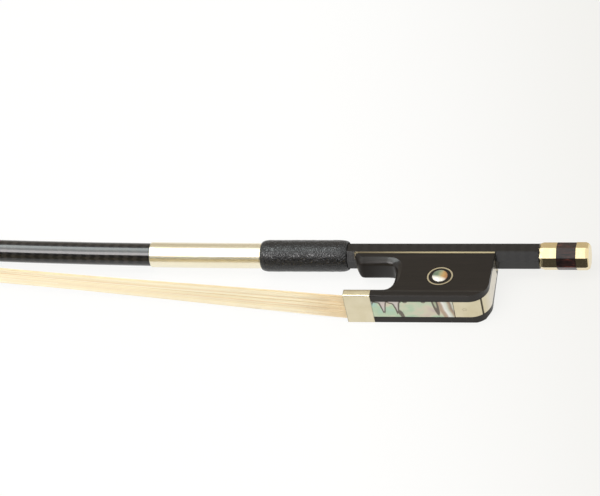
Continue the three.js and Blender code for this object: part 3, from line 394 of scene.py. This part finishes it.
def camber(x):
    """How far the curved stick has left the axis of its handle at a place along it."""
    run = max(camber_start - x, 0)
    return camber_radius - math.sqrt(camber_radius**2 - run**2)


tows_round, tow_width = 16, 1.3
handle_weave, shaft_weave = 0.22, 1.0
head_coat, shaft_coat = 0.3, 0.85
carbon = Finish("carbon_twill", Coat_Roughness=0.06, Coat_IOR=1.5, Specular_IOR_Level=0.1)
spots = carbon.places()
x, y, z = carbon.split(spots)
run = (camber_start - x).at_least(0.0)
around = z.angle_over(y - run * run / (2 * camber_radius))
turn_count = around * (tows_round / (2 * math.pi))
along_count = x / (tow_width * math.sqrt(2))
right_tow, left_tow = along_count + turn_count, along_count - turn_count
over = ((right_tow.of("FLOOR") + left_tow.of("FLOOR")) % 4.0) < 1.5
tow_part = (right_tow % 1.0) * (1 - over) + (left_tow % 1.0) * over
tow_crown = (4 * tow_part * (1 - tow_part)) ** 0.5
fibre_ways = {0: right_tow * 0.4 + left_tow * 12 * over, 1: left_tow * 0.4, 2: over * 7}
fibres = carbon.grainy(carbon.node("CombineXYZ", {}, fibre_ways), 1.0)
patchy_sheen = carbon.grainy(spots, 9.0)
# Painted sheen: the tows running one way get a lighter colour in place of the light their fibres throw back;
# it comes in patches and is faint on the handle
sheen_painted_tow = carbon.mixed(fibres, dye(34, 31, 29), dye(60, 56, 52))
dark_tow = carbon.mixed(fibres, dye(13, 12, 12), dye(22, 20, 19))
weave_shown = carbon.eased(x, -104, -90, shaft_weave, handle_weave)
carbon.feed(
    Base_Color=carbon.mixed(over * (0.2 + patchy_sheen * 0.8) * weave_shown, dark_tow, sheen_painted_tow),
    Roughness=0.32 + over * 0.1,
    Coat_Weight=carbon.eased(x, -660, -640, head_coat, shaft_coat),
    Normal=carbon.raised(tow_crown + fibres * 0.15, 0.012, 0.4),
)
finished(carbon, "stick", weighting="CORNER_ANGLE")

# ---------------------------------------------------------------------------------------------------------
# The bushes in the handle's bore and the eyelet of the frog: turned brass. One bush carries the screw where
# it comes out of the stick, the other its nose, and the eyelet rides on its thread.
brass = Finish("turned_brass", Base_Color=dye(186, 150, 82), Metallic=1.0)
rings = brass.grainy(brass.scaled(brass.places(), 9, 0.6, 0.6), 1.0)
brass.feed(Roughness=0.26 + rings * 0.2, Normal=brass.raised(rings, 0.01, 0.4))
finished(brass, "rear_bush", "front_bush", "eyelet")

# ---------------------------------------------------------------------------------------------------------
# The winding: pale gold wire, 0.4 mm wide and rolled nearly flat, wound tight round the stick turn by turn in
# front of the grip and on under it. A soldered collar of the same metal holds its front end.
winding_front, winding_back, winding_radius = -147.4, -88.0, 4.75
wire_width, collar_width = 0.4, 0.5


def pick(piece):
    """Selects this piece alone."""
    nothing_selected()
    piece.select_set(True)
    bpy.context.view_layer.objects.active = piece


def new_outline(name, points, closed):
    """The edge of a piece, as (along, out) points beside the handle's axis, ready to be spun or wound."""
    edges = [(i, i + 1) for i in range(len(points) - 1)] + ([(len(points) - 1, 0)] if closed else [])
    mesh = bpy.data.meshes.new(name)
    mesh.from_pydata([Vector((along, out, 0)) * mm for along, out in points], edges, [])
    piece = bpy.data.objects.new(name, mesh)
    bpy.context.collection.objects.link(piece)
    pick(piece)
    return piece


def spun(piece, steps):
    """Turns the outline round the handle's axis, as on a lathe."""
    pick(piece)
    bpy.ops.object.mode_set(mode="EDIT")
    bpy.ops.mesh.select_all(action="SELECT")
    bpy.ops.mesh.spin(steps=steps, angle=2 * math.pi, center=(0, 0, 0), axis=(1, 0, 0))
    bpy.ops.object.mode_set(mode="OBJECT")


def wound(piece, pitch, turns, steps):
    """Winds the outline round the handle's axis, from its back end to its front."""
    winder = piece.modifiers.new("wound", "SCREW")
    winder.axis, winder.angle = "X", 2 * math.pi
    winder.screw_offset, winder.iterations = -pitch * mm, turns
    winder.steps = winder.render_steps = steps
    bpy.ops.object.modifier_apply(modifier="wound")


def put_in_place(piece, spot):
    """Closes the piece, turns its faces outwards and leaves its place in its mesh."""
    pick(piece)
    piece.location = spot
    bpy.ops.object.transform_apply(location=True, rotation=True, scale=True)
    bpy.ops.object.mode_set(mode="EDIT")
    bpy.ops.mesh.select_all(action="SELECT")
    bpy.ops.mesh.remove_doubles(threshold=0.002 * mm)
    bpy.ops.mesh.normals_make_consistent(inside=False)
    bpy.ops.object.mode_set(mode="OBJECT")


def joined(piece, other):
    """Makes the other one a part of the piece."""
    pick(piece)
    other.select_set(True)
    bpy.ops.object.join()


wound_length = winding_back - winding_front - collar_width
turns = int(wound_length / wire_width)
pitch = wound_length / turns
wire_steps = 48
# Across a wire: the share of its width, and how far it lies under its top
crown = [(0.0, 0.09), (0.16, 0.035), (0.5, 0.0), (0.84, 0.035), (1.0, 0.09)]
wire_top = [(-part * pitch, winding_radius - low) for part, low in crown]
winding_wire = new_outline("winding_wire", wire_top, False)
wound(winding_wire, pitch, turns, wire_steps)
put_in_place(winding_wire, on_bow(winding_back, 0, 0))
collar_edge = [(0, 4.35), (0, 4.5), (0.12, 4.66), (collar_width, winding_radius), (collar_width + pitch, 4.6)]
collar = new_outline("collar", collar_edge, True)
spun(collar, wire_steps)
put_in_place(collar, on_bow(winding_front, 0, 0))
joined(winding_wire, collar)
for vertex in winding_wire.data.vertices:
    vertex.co.y += camber((vertex.co.x - stick_end.x) / mm) * mm
bpy.ops.object.shade_smooth_by_angle(angle=math.radians(60))
gilt = Finish("pale_gold_wire", Metallic=1.0)
wear = gilt.grainy(gilt.scaled(gilt.places(), 0.2, 1, 1), 6.0)
gilt.feed(
    Base_Color=gilt.mixed(wear, dye(238, 229, 202), dye(250, 244, 224)),
    Roughness=0.14 + wear * 0.1,
)
winding_wire.data.materials.append(gilt.material)
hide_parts("winding")
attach(winding_wire, "stick")

# ---------------------------------------------------------------------------------------------------------
# The thumb grip: a strip of black grained leather, pared thin at its ends, glued round the stick and the
# end of the winding, with its butt seam on top, away from the hair.
grip_front, grip_back, grip_radius = -104.5, -71.6, 5.94
grip_bore, glued_wall = 4.86, 5.15
front_pared, back_pared = 2.6, 2.8
full_length = grip_back - grip_front - front_pared - back_pared
grip_outside = [
    (grip_front, grip_bore), (grip_front, 5.02), (grip_front + 0.22, 5.34), (grip_front + 0.75, 5.62),
    (grip_front + 1.6, 5.83), (grip_front + front_pared, 5.93),
]
smooth_steps, grip_steps = 58, 120
for step in range(1, smooth_steps):
    grip_outside.append((grip_front + front_pared + full_length * step / smooth_steps, grip_radius))
grip_outside += [
    (grip_back - back_pared, 5.93), (grip_back - 2.0, 5.88), (grip_back - 1.2, 5.76), (grip_back - 0.5, 5.55),
    (grip_back - 0.12, 5.36), (grip_back, 5.2), (grip_back, 5.09), (winding_back + 0.1, 5.09),
    (winding_back + 0.1, grip_bore),
]
grip = new_outline("leather_grip", grip_outside, True)
spun(grip, grip_steps)
put_in_place(grip, stick_end)

# The hide is never quite even, and the seam sinks in along its whole length
seam_turn, seam_width, seam_depth = 0.25, 0.22, 0.16
for vertex in grip.data.vertices:
    spot = (vertex.co - stick_end) / mm
    reach = math.hypot(spot.y, spot.z)
    if reach < glued_wall:
        continue
    beside_seam = (math.atan2(spot.z, spot.y) - seam_turn) * 5.9
    rise = 0.07 * noise.noise(spot * 0.55) + 0.045 * noise.noise(spot * 1.6)
    rise -= seam_depth * math.exp(-((beside_seam / seam_width) ** 2))
    grown = (reach + min(rise - 0.05, 0)) / reach
    vertex.co = stick_end + Vector((spot.x, spot.y * grown, spot.z * grown)) * mm
pick(grip)
bpy.ops.object.shade_smooth_by_angle(angle=math.radians(50))

leather = Finish("grained_leather", Specular_IOR_Level=0.52)
spots = leather.places()
across = leather.scaled(spots, 2.0, 0.75, 0.75)
bent = leather.mixed(0.5, across, leather.grainy(spots, 1.4, 3.0, "Color"), "ADD")
pebbles = leather.node("TexVoronoi", {"feature": "DISTANCE_TO_EDGE"}, {"Vector": bent, "Scale": 1.05})
small = leather.node("TexVoronoi", {"feature": "F1"}, {"Vector": bent, "Scale": 2.2})
crease = leather.eased(pebbles, 0.0, 0.2)
pores = leather.grainy(spots, 0.2)
worn = leather.grainy(spots, 3.0, 3.0)
# Painted shade: the grain is coloured darker down in its creases than on its pebbles
leather.feed(
    Base_Color=leather.mixed(crease * (0.3 + 0.7 * worn), dye(6, 6, 7), dye(26, 26, 28)),
    Roughness=0.34 - crease * 0.2 + pores * 0.08,
    Normal=leather.raised(crease + small * 0.4 + pores * 0.1, 0.075),
)
grip.data.materials.append(leather.material)
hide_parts("thumb_grip")
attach(grip, "stick")

# ---------------------------------------------------------------------------------------------------------
# The frog: one block of ebony with hollowed cheeks, a round throat, coves and rails, filed, scraped and
# polished, less so at its front end. The same ebony backs the slide and lines the tip.
ebony = Finish("polished_ebony", Coat_Roughness=0.09, Specular_IOR_Level=0.18)
spots = ebony.places()
grain = ebony.scaled(spots, 0.09, 1.3, 1.3)
streaks = ebony.grainy(grain, 1.0, 5.0)
pores = ebony.eased(ebony.grainy(grain, 0.16, 1.0), 0.66, 0.74)
clouds = ebony.grainy(spots, 16.0)
x, _, _ = ebony.split(spots)
buffed = ebony.eased(x, -66, -54)
wood = ebony.mixed(streaks * 0.8 + clouds * 0.3, dye(11, 9, 7), dye(35, 28, 22))
ebony.feed(
    Base_Color=ebony.mixed(pores * 0.6, wood, dye(6, 5, 5)),
    Coat_Weight=buffed * 0.26 + 0.04,
    Roughness=0.52 - buffed * 0.22 + streaks * 0.12 + pores * 0.15,
    Normal=ebony.raised(streaks * 0.5 - pores, 0.012, 0.5),
)
finished(ebony, "frog", skin=soft_skin)
finished(ebony, "slide_back", "tip_liner")

# ---------------------------------------------------------------------------------------------------------
# The metal of the frog: pale gold nickel silver, brushed along the bow and tarnished in soft patches. The
# back plate is the palest, a painted reflection that grows as the metal turns round the heel, with a dark
# seam to the heel plate, and the mouth of the ferrule has a dark rim, a painted line of shade.
heel_x, heel_y, seam_angle = -23.3, -19.1, math.radians(-50)
ferrule_front = -69.1
silver = Finish("pale_gold_metal", Metallic=1.0)
spots = silver.places()
brush = silver.grainy(silver.scaled(spots, 0.25, 7, 7), 1.0, 3.0)
tarnish = silver.grainy(spots, 5.0, 4.0)
x, y, _ = silver.split(spots)
round_heel = (y - heel_y).angle_over(x - heel_x)
seam = silver.eased((round_heel - seam_angle).of("ABSOLUTE"), 0.075, 0.03) * (x > heel_x)
# Painted reflection: the metal turns paler as it goes round the heel onto the back plate
pale = silver.eased(round_heel, seam_angle, seam_angle + 0.8) * (x > heel_x)
# Painted shade: a dark line along the front edge of the ferrule
ferrule_edge_shade = silver.eased(x, ferrule_front + 0.3, ferrule_front + 0.05)
metal_tone = silver.mixed(tarnish, dye(204, 192, 156), dye(232, 223, 198))
metal_tone = silver.mixed(pale * 0.7, metal_tone, dye(236, 230, 220))
silver.feed(
    Base_Color=silver.mixed(seam * 0.9 + ferrule_edge_shade * 0.5, metal_tone, dye(66, 60, 50)),
    Roughness=0.22 + brush * 0.16 + tarnish * 0.06,
    Normal=silver.raised(brush, 0.006, 0.5),
)
finished(
    silver, "underslide_pin_front", "underslide_pin_rear", "ferrule", "heel_plate", "back_plate",
    "heel_plate_pin", "back_plate_pin", "eye_ring_left", "eye_ring_right",
)

# ---------------------------------------------------------------------------------------------------------
# The underslide: the same metal in thin sheet, bent to the octagon of the stick and pinned into the frog. It
# is darker towards the grip.
lining = Finish("lining_metal", Metallic=1.0, Roughness=0.34)
spots = lining.places()
x, _, _ = lining.split(spots)
brighter_to_heel = lining.eased(x + lining.grainy(spots, 3.0) * 8, -66, -28)
lining.feed(Base_Color=lining.mixed(brighter_to_heel, dye(122, 112, 92), dye(204, 192, 158)))
finished(lining, "underslide")

# ---------------------------------------------------------------------------------------------------------
# The slide: a strip of abalone shell, sawn flat and polished, glued on its ebony back. Its green ground
# turns pink and grey in drifts, with a dark growth line through it and tan and white bands at the heel.
shell = Finish("abalone_shell", Coat_Weight=1.0, Coat_Roughness=0.04, Roughness=0.3)
spots = shell.places()
x, _, z = shell.split(spots)
drift = shell.grainy(shell.scaled(spots, 0.5, 1, 0.8), 4.0, 4.0)


def in_oval(middle_x, middle_z, half_length, half_width, lean=0.0):
    """How far out a spot lies in an oval on the slide, squared: 0 in its middle and 1 at its edge."""
    return ((x - middle_x + z * lean) / half_length) ** 2.0 + ((z - middle_z) / half_width) ** 2.0


pink_patch = shell.eased(in_oval(-54.5, 3.4, 3.464, 2), 1.6, 0.3)
figure = shell.ramp(
    0.40 + (drift - 0.5) * 1.6 + (x + 46) * 0.012 + pink_patch * 0.42,
    (0.0, 138, 180, 170), (0.25, 158, 192, 178), (0.42, 164, 190, 158), (0.56, 184, 194, 166),
    (0.70, 198, 190, 166), (0.85, 190, 176, 162), (1.0, 178, 164, 158),
)
bands_start, bands_end = -34.0, -27.5
band_place = x + z * 0.26 + drift * 1.6
bands = shell.ramp(
    shell.node("MapRange", {}, {0: band_place, 1: bands_start, 2: bands_end}),
    (0.0, 166, 184, 160), (0.12, 158, 130, 102), (0.34, 172, 150, 128), (0.44, 222, 222, 216),
    (0.62, 200, 206, 192), (0.74, 166, 146, 118), (0.84, 126, 102, 82), (0.92, 188, 188, 172),
)
ground = shell.mixed(shell.eased(band_place, bands_start + 0.4, bands_start + 1.4), figure, bands)

# The growth line swings from edge to edge of the strip, with a lilac ground above it
wave_start, wave_length, wave_height = -58.3, 5.1, 2.7
phase = (x - wave_start) * (2 * math.pi / wave_length)
wave = phase - 0.9 + 0.9 * phase.of("COSINE") + (drift - 0.5) * 1.6
steepness = 3.3 * wave.of("SINE") * (1 - 0.9 * phase.of("SINE"))
above_line = z - 1.2 - wave_height * wave.of("COSINE")
growth_line = above_line.of("ABSOLUTE") / (1 + steepness * steepness) ** 0.5
in_reach = (x < -48.0) * (x > -58.9)
ground = shell.mixed(shell.eased(above_line, -0.1, 0.5) * in_reach * 0.75, ground, dye(192, 174, 176))
heavy = shell.eased((x + 49.7).of("ABSOLUTE"), 0.9, 0.3) * 0.2
marks = shell.eased(growth_line, 0.42 + heavy, 0.16 + heavy) * in_reach

# A leaf with an olive inside, a blot beside the growth line, two nicks at the upper edge and loose flecks
leaf = in_oval(-35.1, 3.6, 0.78, 4.7, lean=0.12) ** 0.5
leaf_line = (leaf - 1).of("ABSOLUTE") * 0.6
ground = shell.mixed(shell.eased(leaf, 1.0, 0.7) * 0.6, ground, dye(138, 134, 102))
blot = in_oval(-49.1, -2.6, 0.8, 2.4, lean=0.25) ** 0.5 + drift * 0.8
flecks = shell.grainy(spots, 1.3, 3.0)
for mark in (
    shell.eased(blot, 1.8, 1.2),
    shell.eased(leaf_line, 0.36, 0.17),
    shell.eased(in_oval(-46.5, 4.1, 0.9, 0.7), 1.3, 0.6) * 0.9,
    shell.eased(in_oval(-39.7, 4.1, 0.9, 0.7), 1.3, 0.6) * 0.9,
    shell.eased(flecks, 0.70, 0.76) * 0.5,
):
    marks = marks.at_least(mark)
shell.feed(Base_Color=shell.mixed(marks * 0.95, ground, dye(66, 50, 26)))
finished(shell, "pearl_slide")

# ---------------------------------------------------------------------------------------------------------
# The eyes: slightly domed discs of pearl shell, glued in the middle of each thin ring. They are white towards
# the hair, a painted highlight, and play green to copper towards the stick, the shell's own colour and
# painted sheen.
eye_x, eye_y, eye_radius, eye_bed = -34.6, -15.3, 2.85, 4.9
pearl_back, pearl_edge, dome_rise, dome_steps, eye_steps = -0.1, 1.1, 0.6, 8, 48
pearl = Finish("pearl_shell", Coat_Weight=1.0, Coat_Roughness=0.04, Roughness=0.22)
spots = pearl.places(on_bow(eye_x, eye_y, 0))
x, y, _ = pearl.split(spots)
sheen = pearl.grainy(spots, 2.2, 3.0)
play = pearl.ramp(
    0.22 + x * 0.14 - y * 0.03 + sheen * 0.55,
    (0.1, 80, 104, 84), (0.35, 108, 128, 100), (0.52, 162, 158, 116), (0.7, 190, 148, 84),
    (0.9, 164, 110, 60),
)
# Painted highlight: the side of each eye towards the hair turns white
pearl.feed(Base_Color=pearl.mixed(pearl.eased(0 - y - x * 0.3, 0.2, 1.8), play, dye(238, 234, 220)))
dome = [(pearl_back, 0.0), (pearl_back, eye_radius), (pearl_edge, eye_radius)]
for step in range(1, dome_steps):
    rise = step * math.pi / (2 * dome_steps)
    dome.append((pearl_edge + dome_rise * math.sin(rise), eye_radius * math.cos(rise)))
dome.append((pearl_edge + dome_rise, 0.0))
for side, name in ((1, "left"), (-1, "right")):
    eye = new_outline("pearl_eye_" + name, dome, False)
    spun(eye, eye_steps)
    eye.rotation_euler = (0, -side * math.pi / 2, 0)
    put_in_place(eye, on_bow(eye_x, eye_y, side * eye_bed))
    bpy.ops.object.shade_smooth_by_angle(angle=math.radians(40))
    eye.data.materials.append(pearl.material)
    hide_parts("eye_pearl_" + name)
    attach(eye, "frog")

# ---------------------------------------------------------------------------------------------------------
# The wood inside: a maple wedge that spreads the hair in the ferrule and maple plugs that hold the knots.
maple = Finish("raw_maple", Roughness=0.7)
fibre = maple.grainy(maple.scaled(maple.places(), 0.15, 2, 2), 1.0, 4.0)
maple.feed(
    Base_Color=maple.mixed(fibre, dye(196, 160, 112), dye(226, 196, 150)),
    Normal=maple.raised(fibre, 0.03, 0.6),
)
finished(maple, "ferrule_wedge", "frog_plug", "tip_plug")

# ---------------------------------------------------------------------------------------------------------
# The knots: the ends of the hair, tied round with waxed red-brown thread and burnt flat.
turns_a_mm = 2.6
thread = Finish("waxed_thread", Roughness=0.6)
_, _, z = thread.split(thread.places())
laid = (z * turns_a_mm) % 1.0
ridge = 4 * laid * (1 - laid)
# Painted shade: the thread is darker where each turn meets the next, lighter on its crown
thread.feed(
    Base_Color=thread.mixed(ridge, dye(84, 34, 24), dye(152, 66, 46)),
    Normal=thread.raised(ridge, 0.12),
)
finished(thread, "frog_hair_knot", "tip_hair_knot")

# ---------------------------------------------------------------------------------------------------------
# The screw: a steel rod, plain where it runs in the rear bush and the button, cut with a thread of 0.6 mm
# pitch where the brass eyelet of the frog rides on it, and turned down to a nose in the front bush.
screw_radius, nose_radius, thread_pitch, thread_depth = 1.6, 1.2, 0.6, 0.3
nose_end, nose_shoulder, thread_front, thread_back, screw_end = -55.6, -46.6, -46.4, -23.0, 10.7
thread_root = screw_radius - thread_depth
round_steps = 32
rod = [
    (nose_end, 0), (nose_end, nose_radius - 0.2), (nose_end + 0.2, nose_radius),
    (nose_shoulder, nose_radius), (nose_shoulder, thread_root), (thread_back, thread_root),
    (thread_back, screw_radius), (screw_end, screw_radius), (screw_end, 0),
]
screw_rod = new_outline("threaded_screw", rod, False)
spun(screw_rod, round_steps)
put_in_place(screw_rod, stick_end)
bpy.ops.object.shade_smooth_by_angle(angle=math.radians(40))
tooth = [
    (0, thread_root - 0.1), (0, thread_root), (-0.22, screw_radius), (-0.34, screw_radius),
    (-0.56, thread_root), (-0.56, thread_root - 0.1),
]
thread_ridge = new_outline("thread_ridge", tooth, True)
wound(thread_ridge, thread_pitch, int((thread_back - thread_front) / thread_pitch), round_steps)
put_in_place(thread_ridge, on_bow(thread_back - 0.1, 0, 0))
bpy.ops.object.mode_set(mode="EDIT")
bpy.ops.mesh.fill_holes(sides=0)
bpy.ops.object.mode_set(mode="OBJECT")
bpy.ops.object.shade_smooth_by_angle(angle=math.radians(30))
joined(screw_rod, thread_ridge)
steel = Finish("turned_steel", Base_Color=dye(158, 158, 156), Metallic=1.0)
turning = steel.grainy(steel.scaled(steel.places(), 8, 0.5, 0.5), 1.0)
steel.feed(Roughness=0.22 + turning * 0.2)
screw_rod.data.materials.append(steel.material)
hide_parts("screw")
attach(screw_rod, "screw")

# ---------------------------------------------------------------------------------------------------------
# The button: a core of dark red-brown wood between its two metal rings, all filed to one octagon. The rings
# are washed with a warmer gold and polished bright.
gold = Finish("warm_gold_metal", Metallic=1.0)
rubbed = gold.grainy(gold.places(), 2.5, 4.0)
gold.feed(
    Base_Color=gold.mixed(rubbed, dye(237, 215, 164), dye(248, 233, 190)),
    Roughness=0.12 + rubbed * 0.12,
)
finished(gold, "button_front_ring", "button_rear_ring", skin=crisp_skin)
rosewood = Finish(
    "polished_rosewood", Coat_Weight=0.2, Coat_Roughness=0.1, Specular_IOR_Level=0.3, Roughness=0.32
)
figure = rosewood.grainy(rosewood.scaled(rosewood.places(), 0.3, 1.4, 1.4), 1.0, 5.0)
rosewood.feed(
    Base_Color=rosewood.ramp(figure, (0.38, 20, 13, 13), (0.56, 46, 27, 24), (0.72, 104, 48, 38)),
    Normal=rosewood.raised(figure, 0.02, 0.4),
)
finished(rosewood, "button_core")

# ---------------------------------------------------------------------------------------------------------
# The tip plate: an ivory-coloured resin face on an ebony liner, which guards the head.
resin = Finish("tip_resin", Coat_Weight=0.6, Coat_Roughness=0.08, Roughness=0.35)
cream = resin.grainy(resin.places(), 5.0, 3.0)
resin.feed(Base_Color=resin.mixed(cream, dye(232, 222, 198), dye(244, 238, 220)))
finished(resin, "tip_plate")

# ---------------------------------------------------------------------------------------------------------
# The hair: some hundred and fifty white horsehairs combed flat. They come out of the ferrule as a ribbon
# nearly as wide as the frog, close up a little, and run to the head. The bow is slack, as when put away.
hair_out_y, hair_slope = -25.25, 0.112
head_back = -665.0
head_angle = math.atan(hair_slope)
head_foot_y = hair_out_y + hair_slope * (ferrule_front - head_back) + 0.55
mouth_half, closed_half, knot_half = 5.95, 4.0, 3.7
closing_run, run_steps = 125, 40


def in_head(along, out):
    return (
        head_back - along * math.cos(head_angle) + out * math.sin(head_angle),
        head_foot_y + along * math.sin(head_angle) + out * math.cos(head_angle),
    )


# Each station of the ribbon: x, y, half its width, and the way its thickness points
hair_route = [
    (-49.75, -21.0, 3.85, -90), (-49.75, -22.8, 3.85, -90), (-49.9, -23.3, 3.85, -45),
    (-50.85, -23.6, 3.85, 0), (-59.15, -23.6, 3.85, 0), (-62.15, -23.6, 3.85, 0),
    (-64.8, -24.4, 5.0, -18), (-67.23, -25.2, 5.9, -6), (ferrule_front, hair_out_y, mouth_half, -3),
]
first_loose = len(hair_route) + 1
for step in range(1, run_steps + 1):
    x = ferrule_front + (head_back - ferrule_front) * (step / run_steps) ** 1.35
    closing = min((ferrule_front - x) / closing_run, 1)
    half = mouth_half - (mouth_half - closed_half) * closing * closing * (3 - 2 * closing)
    hair_route.append((x, hair_out_y + hair_slope * (ferrule_front - x), half, -math.degrees(head_angle)))
first_in_head = len(hair_route)
for along, out, turn in ((1.8, -0.55, 0), (3.6, -0.5, 0), (4.2, -0.05, 60), (4.25, 0.8, 90), (4.25, 2.7, 90)):
    hair_route.append((*in_head(along, out), knot_half, -math.degrees(head_angle) - turn))

random.seed(17)
hair_count, hair_radius, hair_layers, layer_gap = 156, 0.13, 3, 0.2
uneven, sway_most, lift_most, edge_room = 0.012, 0.05, 0.09, 0.14
hairs = bpy.data.curves.new("hair_strands", "CURVE")
hairs.dimensions = "3D"
hairs.bevel_depth = hair_radius * mm
hairs.bevel_resolution = 0
hairs.use_fill_caps = True
for strand in range(hair_count):
    layer = strand % hair_layers - 1
    side = (strand + 0.5) / hair_count * 2 - 1 + random.uniform(-uneven, uneven)
    path = hairs.splines.new("POLY")
    path.points.add(len(hair_route) - 1)
    for station, (point, (x, y, half, turn)) in enumerate(zip(path.points, hair_route)):
        loose = 1.0 if first_loose <= station < first_in_head else 0.0
        sway = loose * sway_most * noise.noise(Vector((x * 0.012, strand * 3.7, 0.5)))
        lift = layer * layer_gap + loose * lift_most * noise.noise(Vector((x * 0.02, strand * 1.9, 7.5)))
        out = Vector((math.sin(math.radians(-turn)), math.cos(math.radians(turn)), 0))
        spread = max(-1.0, min(1.0, side + sway)) * (half - edge_room)
        point.co = (*(on_bow(x, y, spread) + out * lift * mm), 1)
hair = bpy.data.objects.new("hair_strands", hairs)
bpy.context.collection.objects.link(hair)
pick(hair)
bpy.ops.object.convert(target="MESH")
bpy.ops.object.shade_smooth()

# Neighbouring hairs lie in locks of one tone, and those along the upper edge are darker
edge_hairs, edge_tone = 7, 0.17
tones = []
for strand in range(hair_count):
    lock = noise.noise(Vector((strand * 0.11, 3.3, 1.7)))
    tones.append(min(max(0.5 + lock * 0.9 + random.uniform(-0.2, 0.2), 0), 1))
tones[-edge_hairs:] = [edge_tone] * edge_hairs
verts_a_hair = len(hair.data.vertices) // hair_count
tone = hair.data.attributes.new("strand_tone", "FLOAT", "POINT")
tone.data.foreach_set(
    "value", [tones[min(i // verts_a_hair, hair_count - 1)] for i in range(len(hair.data.vertices))]
)
horsehair = Finish("horsehair", Roughness=0.45, Specular_IOR_Level=0.4)
strand_colour = horsehair.ramp(
    horsehair.node("Attribute", {"attribute_name": "strand_tone"}, {}, "Fac"),
    (0.0, 224, 198, 148), (0.25, 250, 234, 194), (0.6, 255, 248, 224), (0.85, 252, 239, 206),
    (1.0, 238, 210, 172),
)
x, _, _ = horsehair.split(horsehair.places())
# Painted shade: the hair darkens as it goes into the mouth of the ferrule
ferrule_mouth_shade = horsehair.eased(x, -92, -70, 0.0, 0.55)
horsehair.feed(Base_Color=horsehair.mixed(ferrule_mouth_shade, strand_colour, dye(222, 192, 142)))
hair.data.materials.append(horsehair.material)
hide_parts("hair_ribbon")
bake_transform(hair)
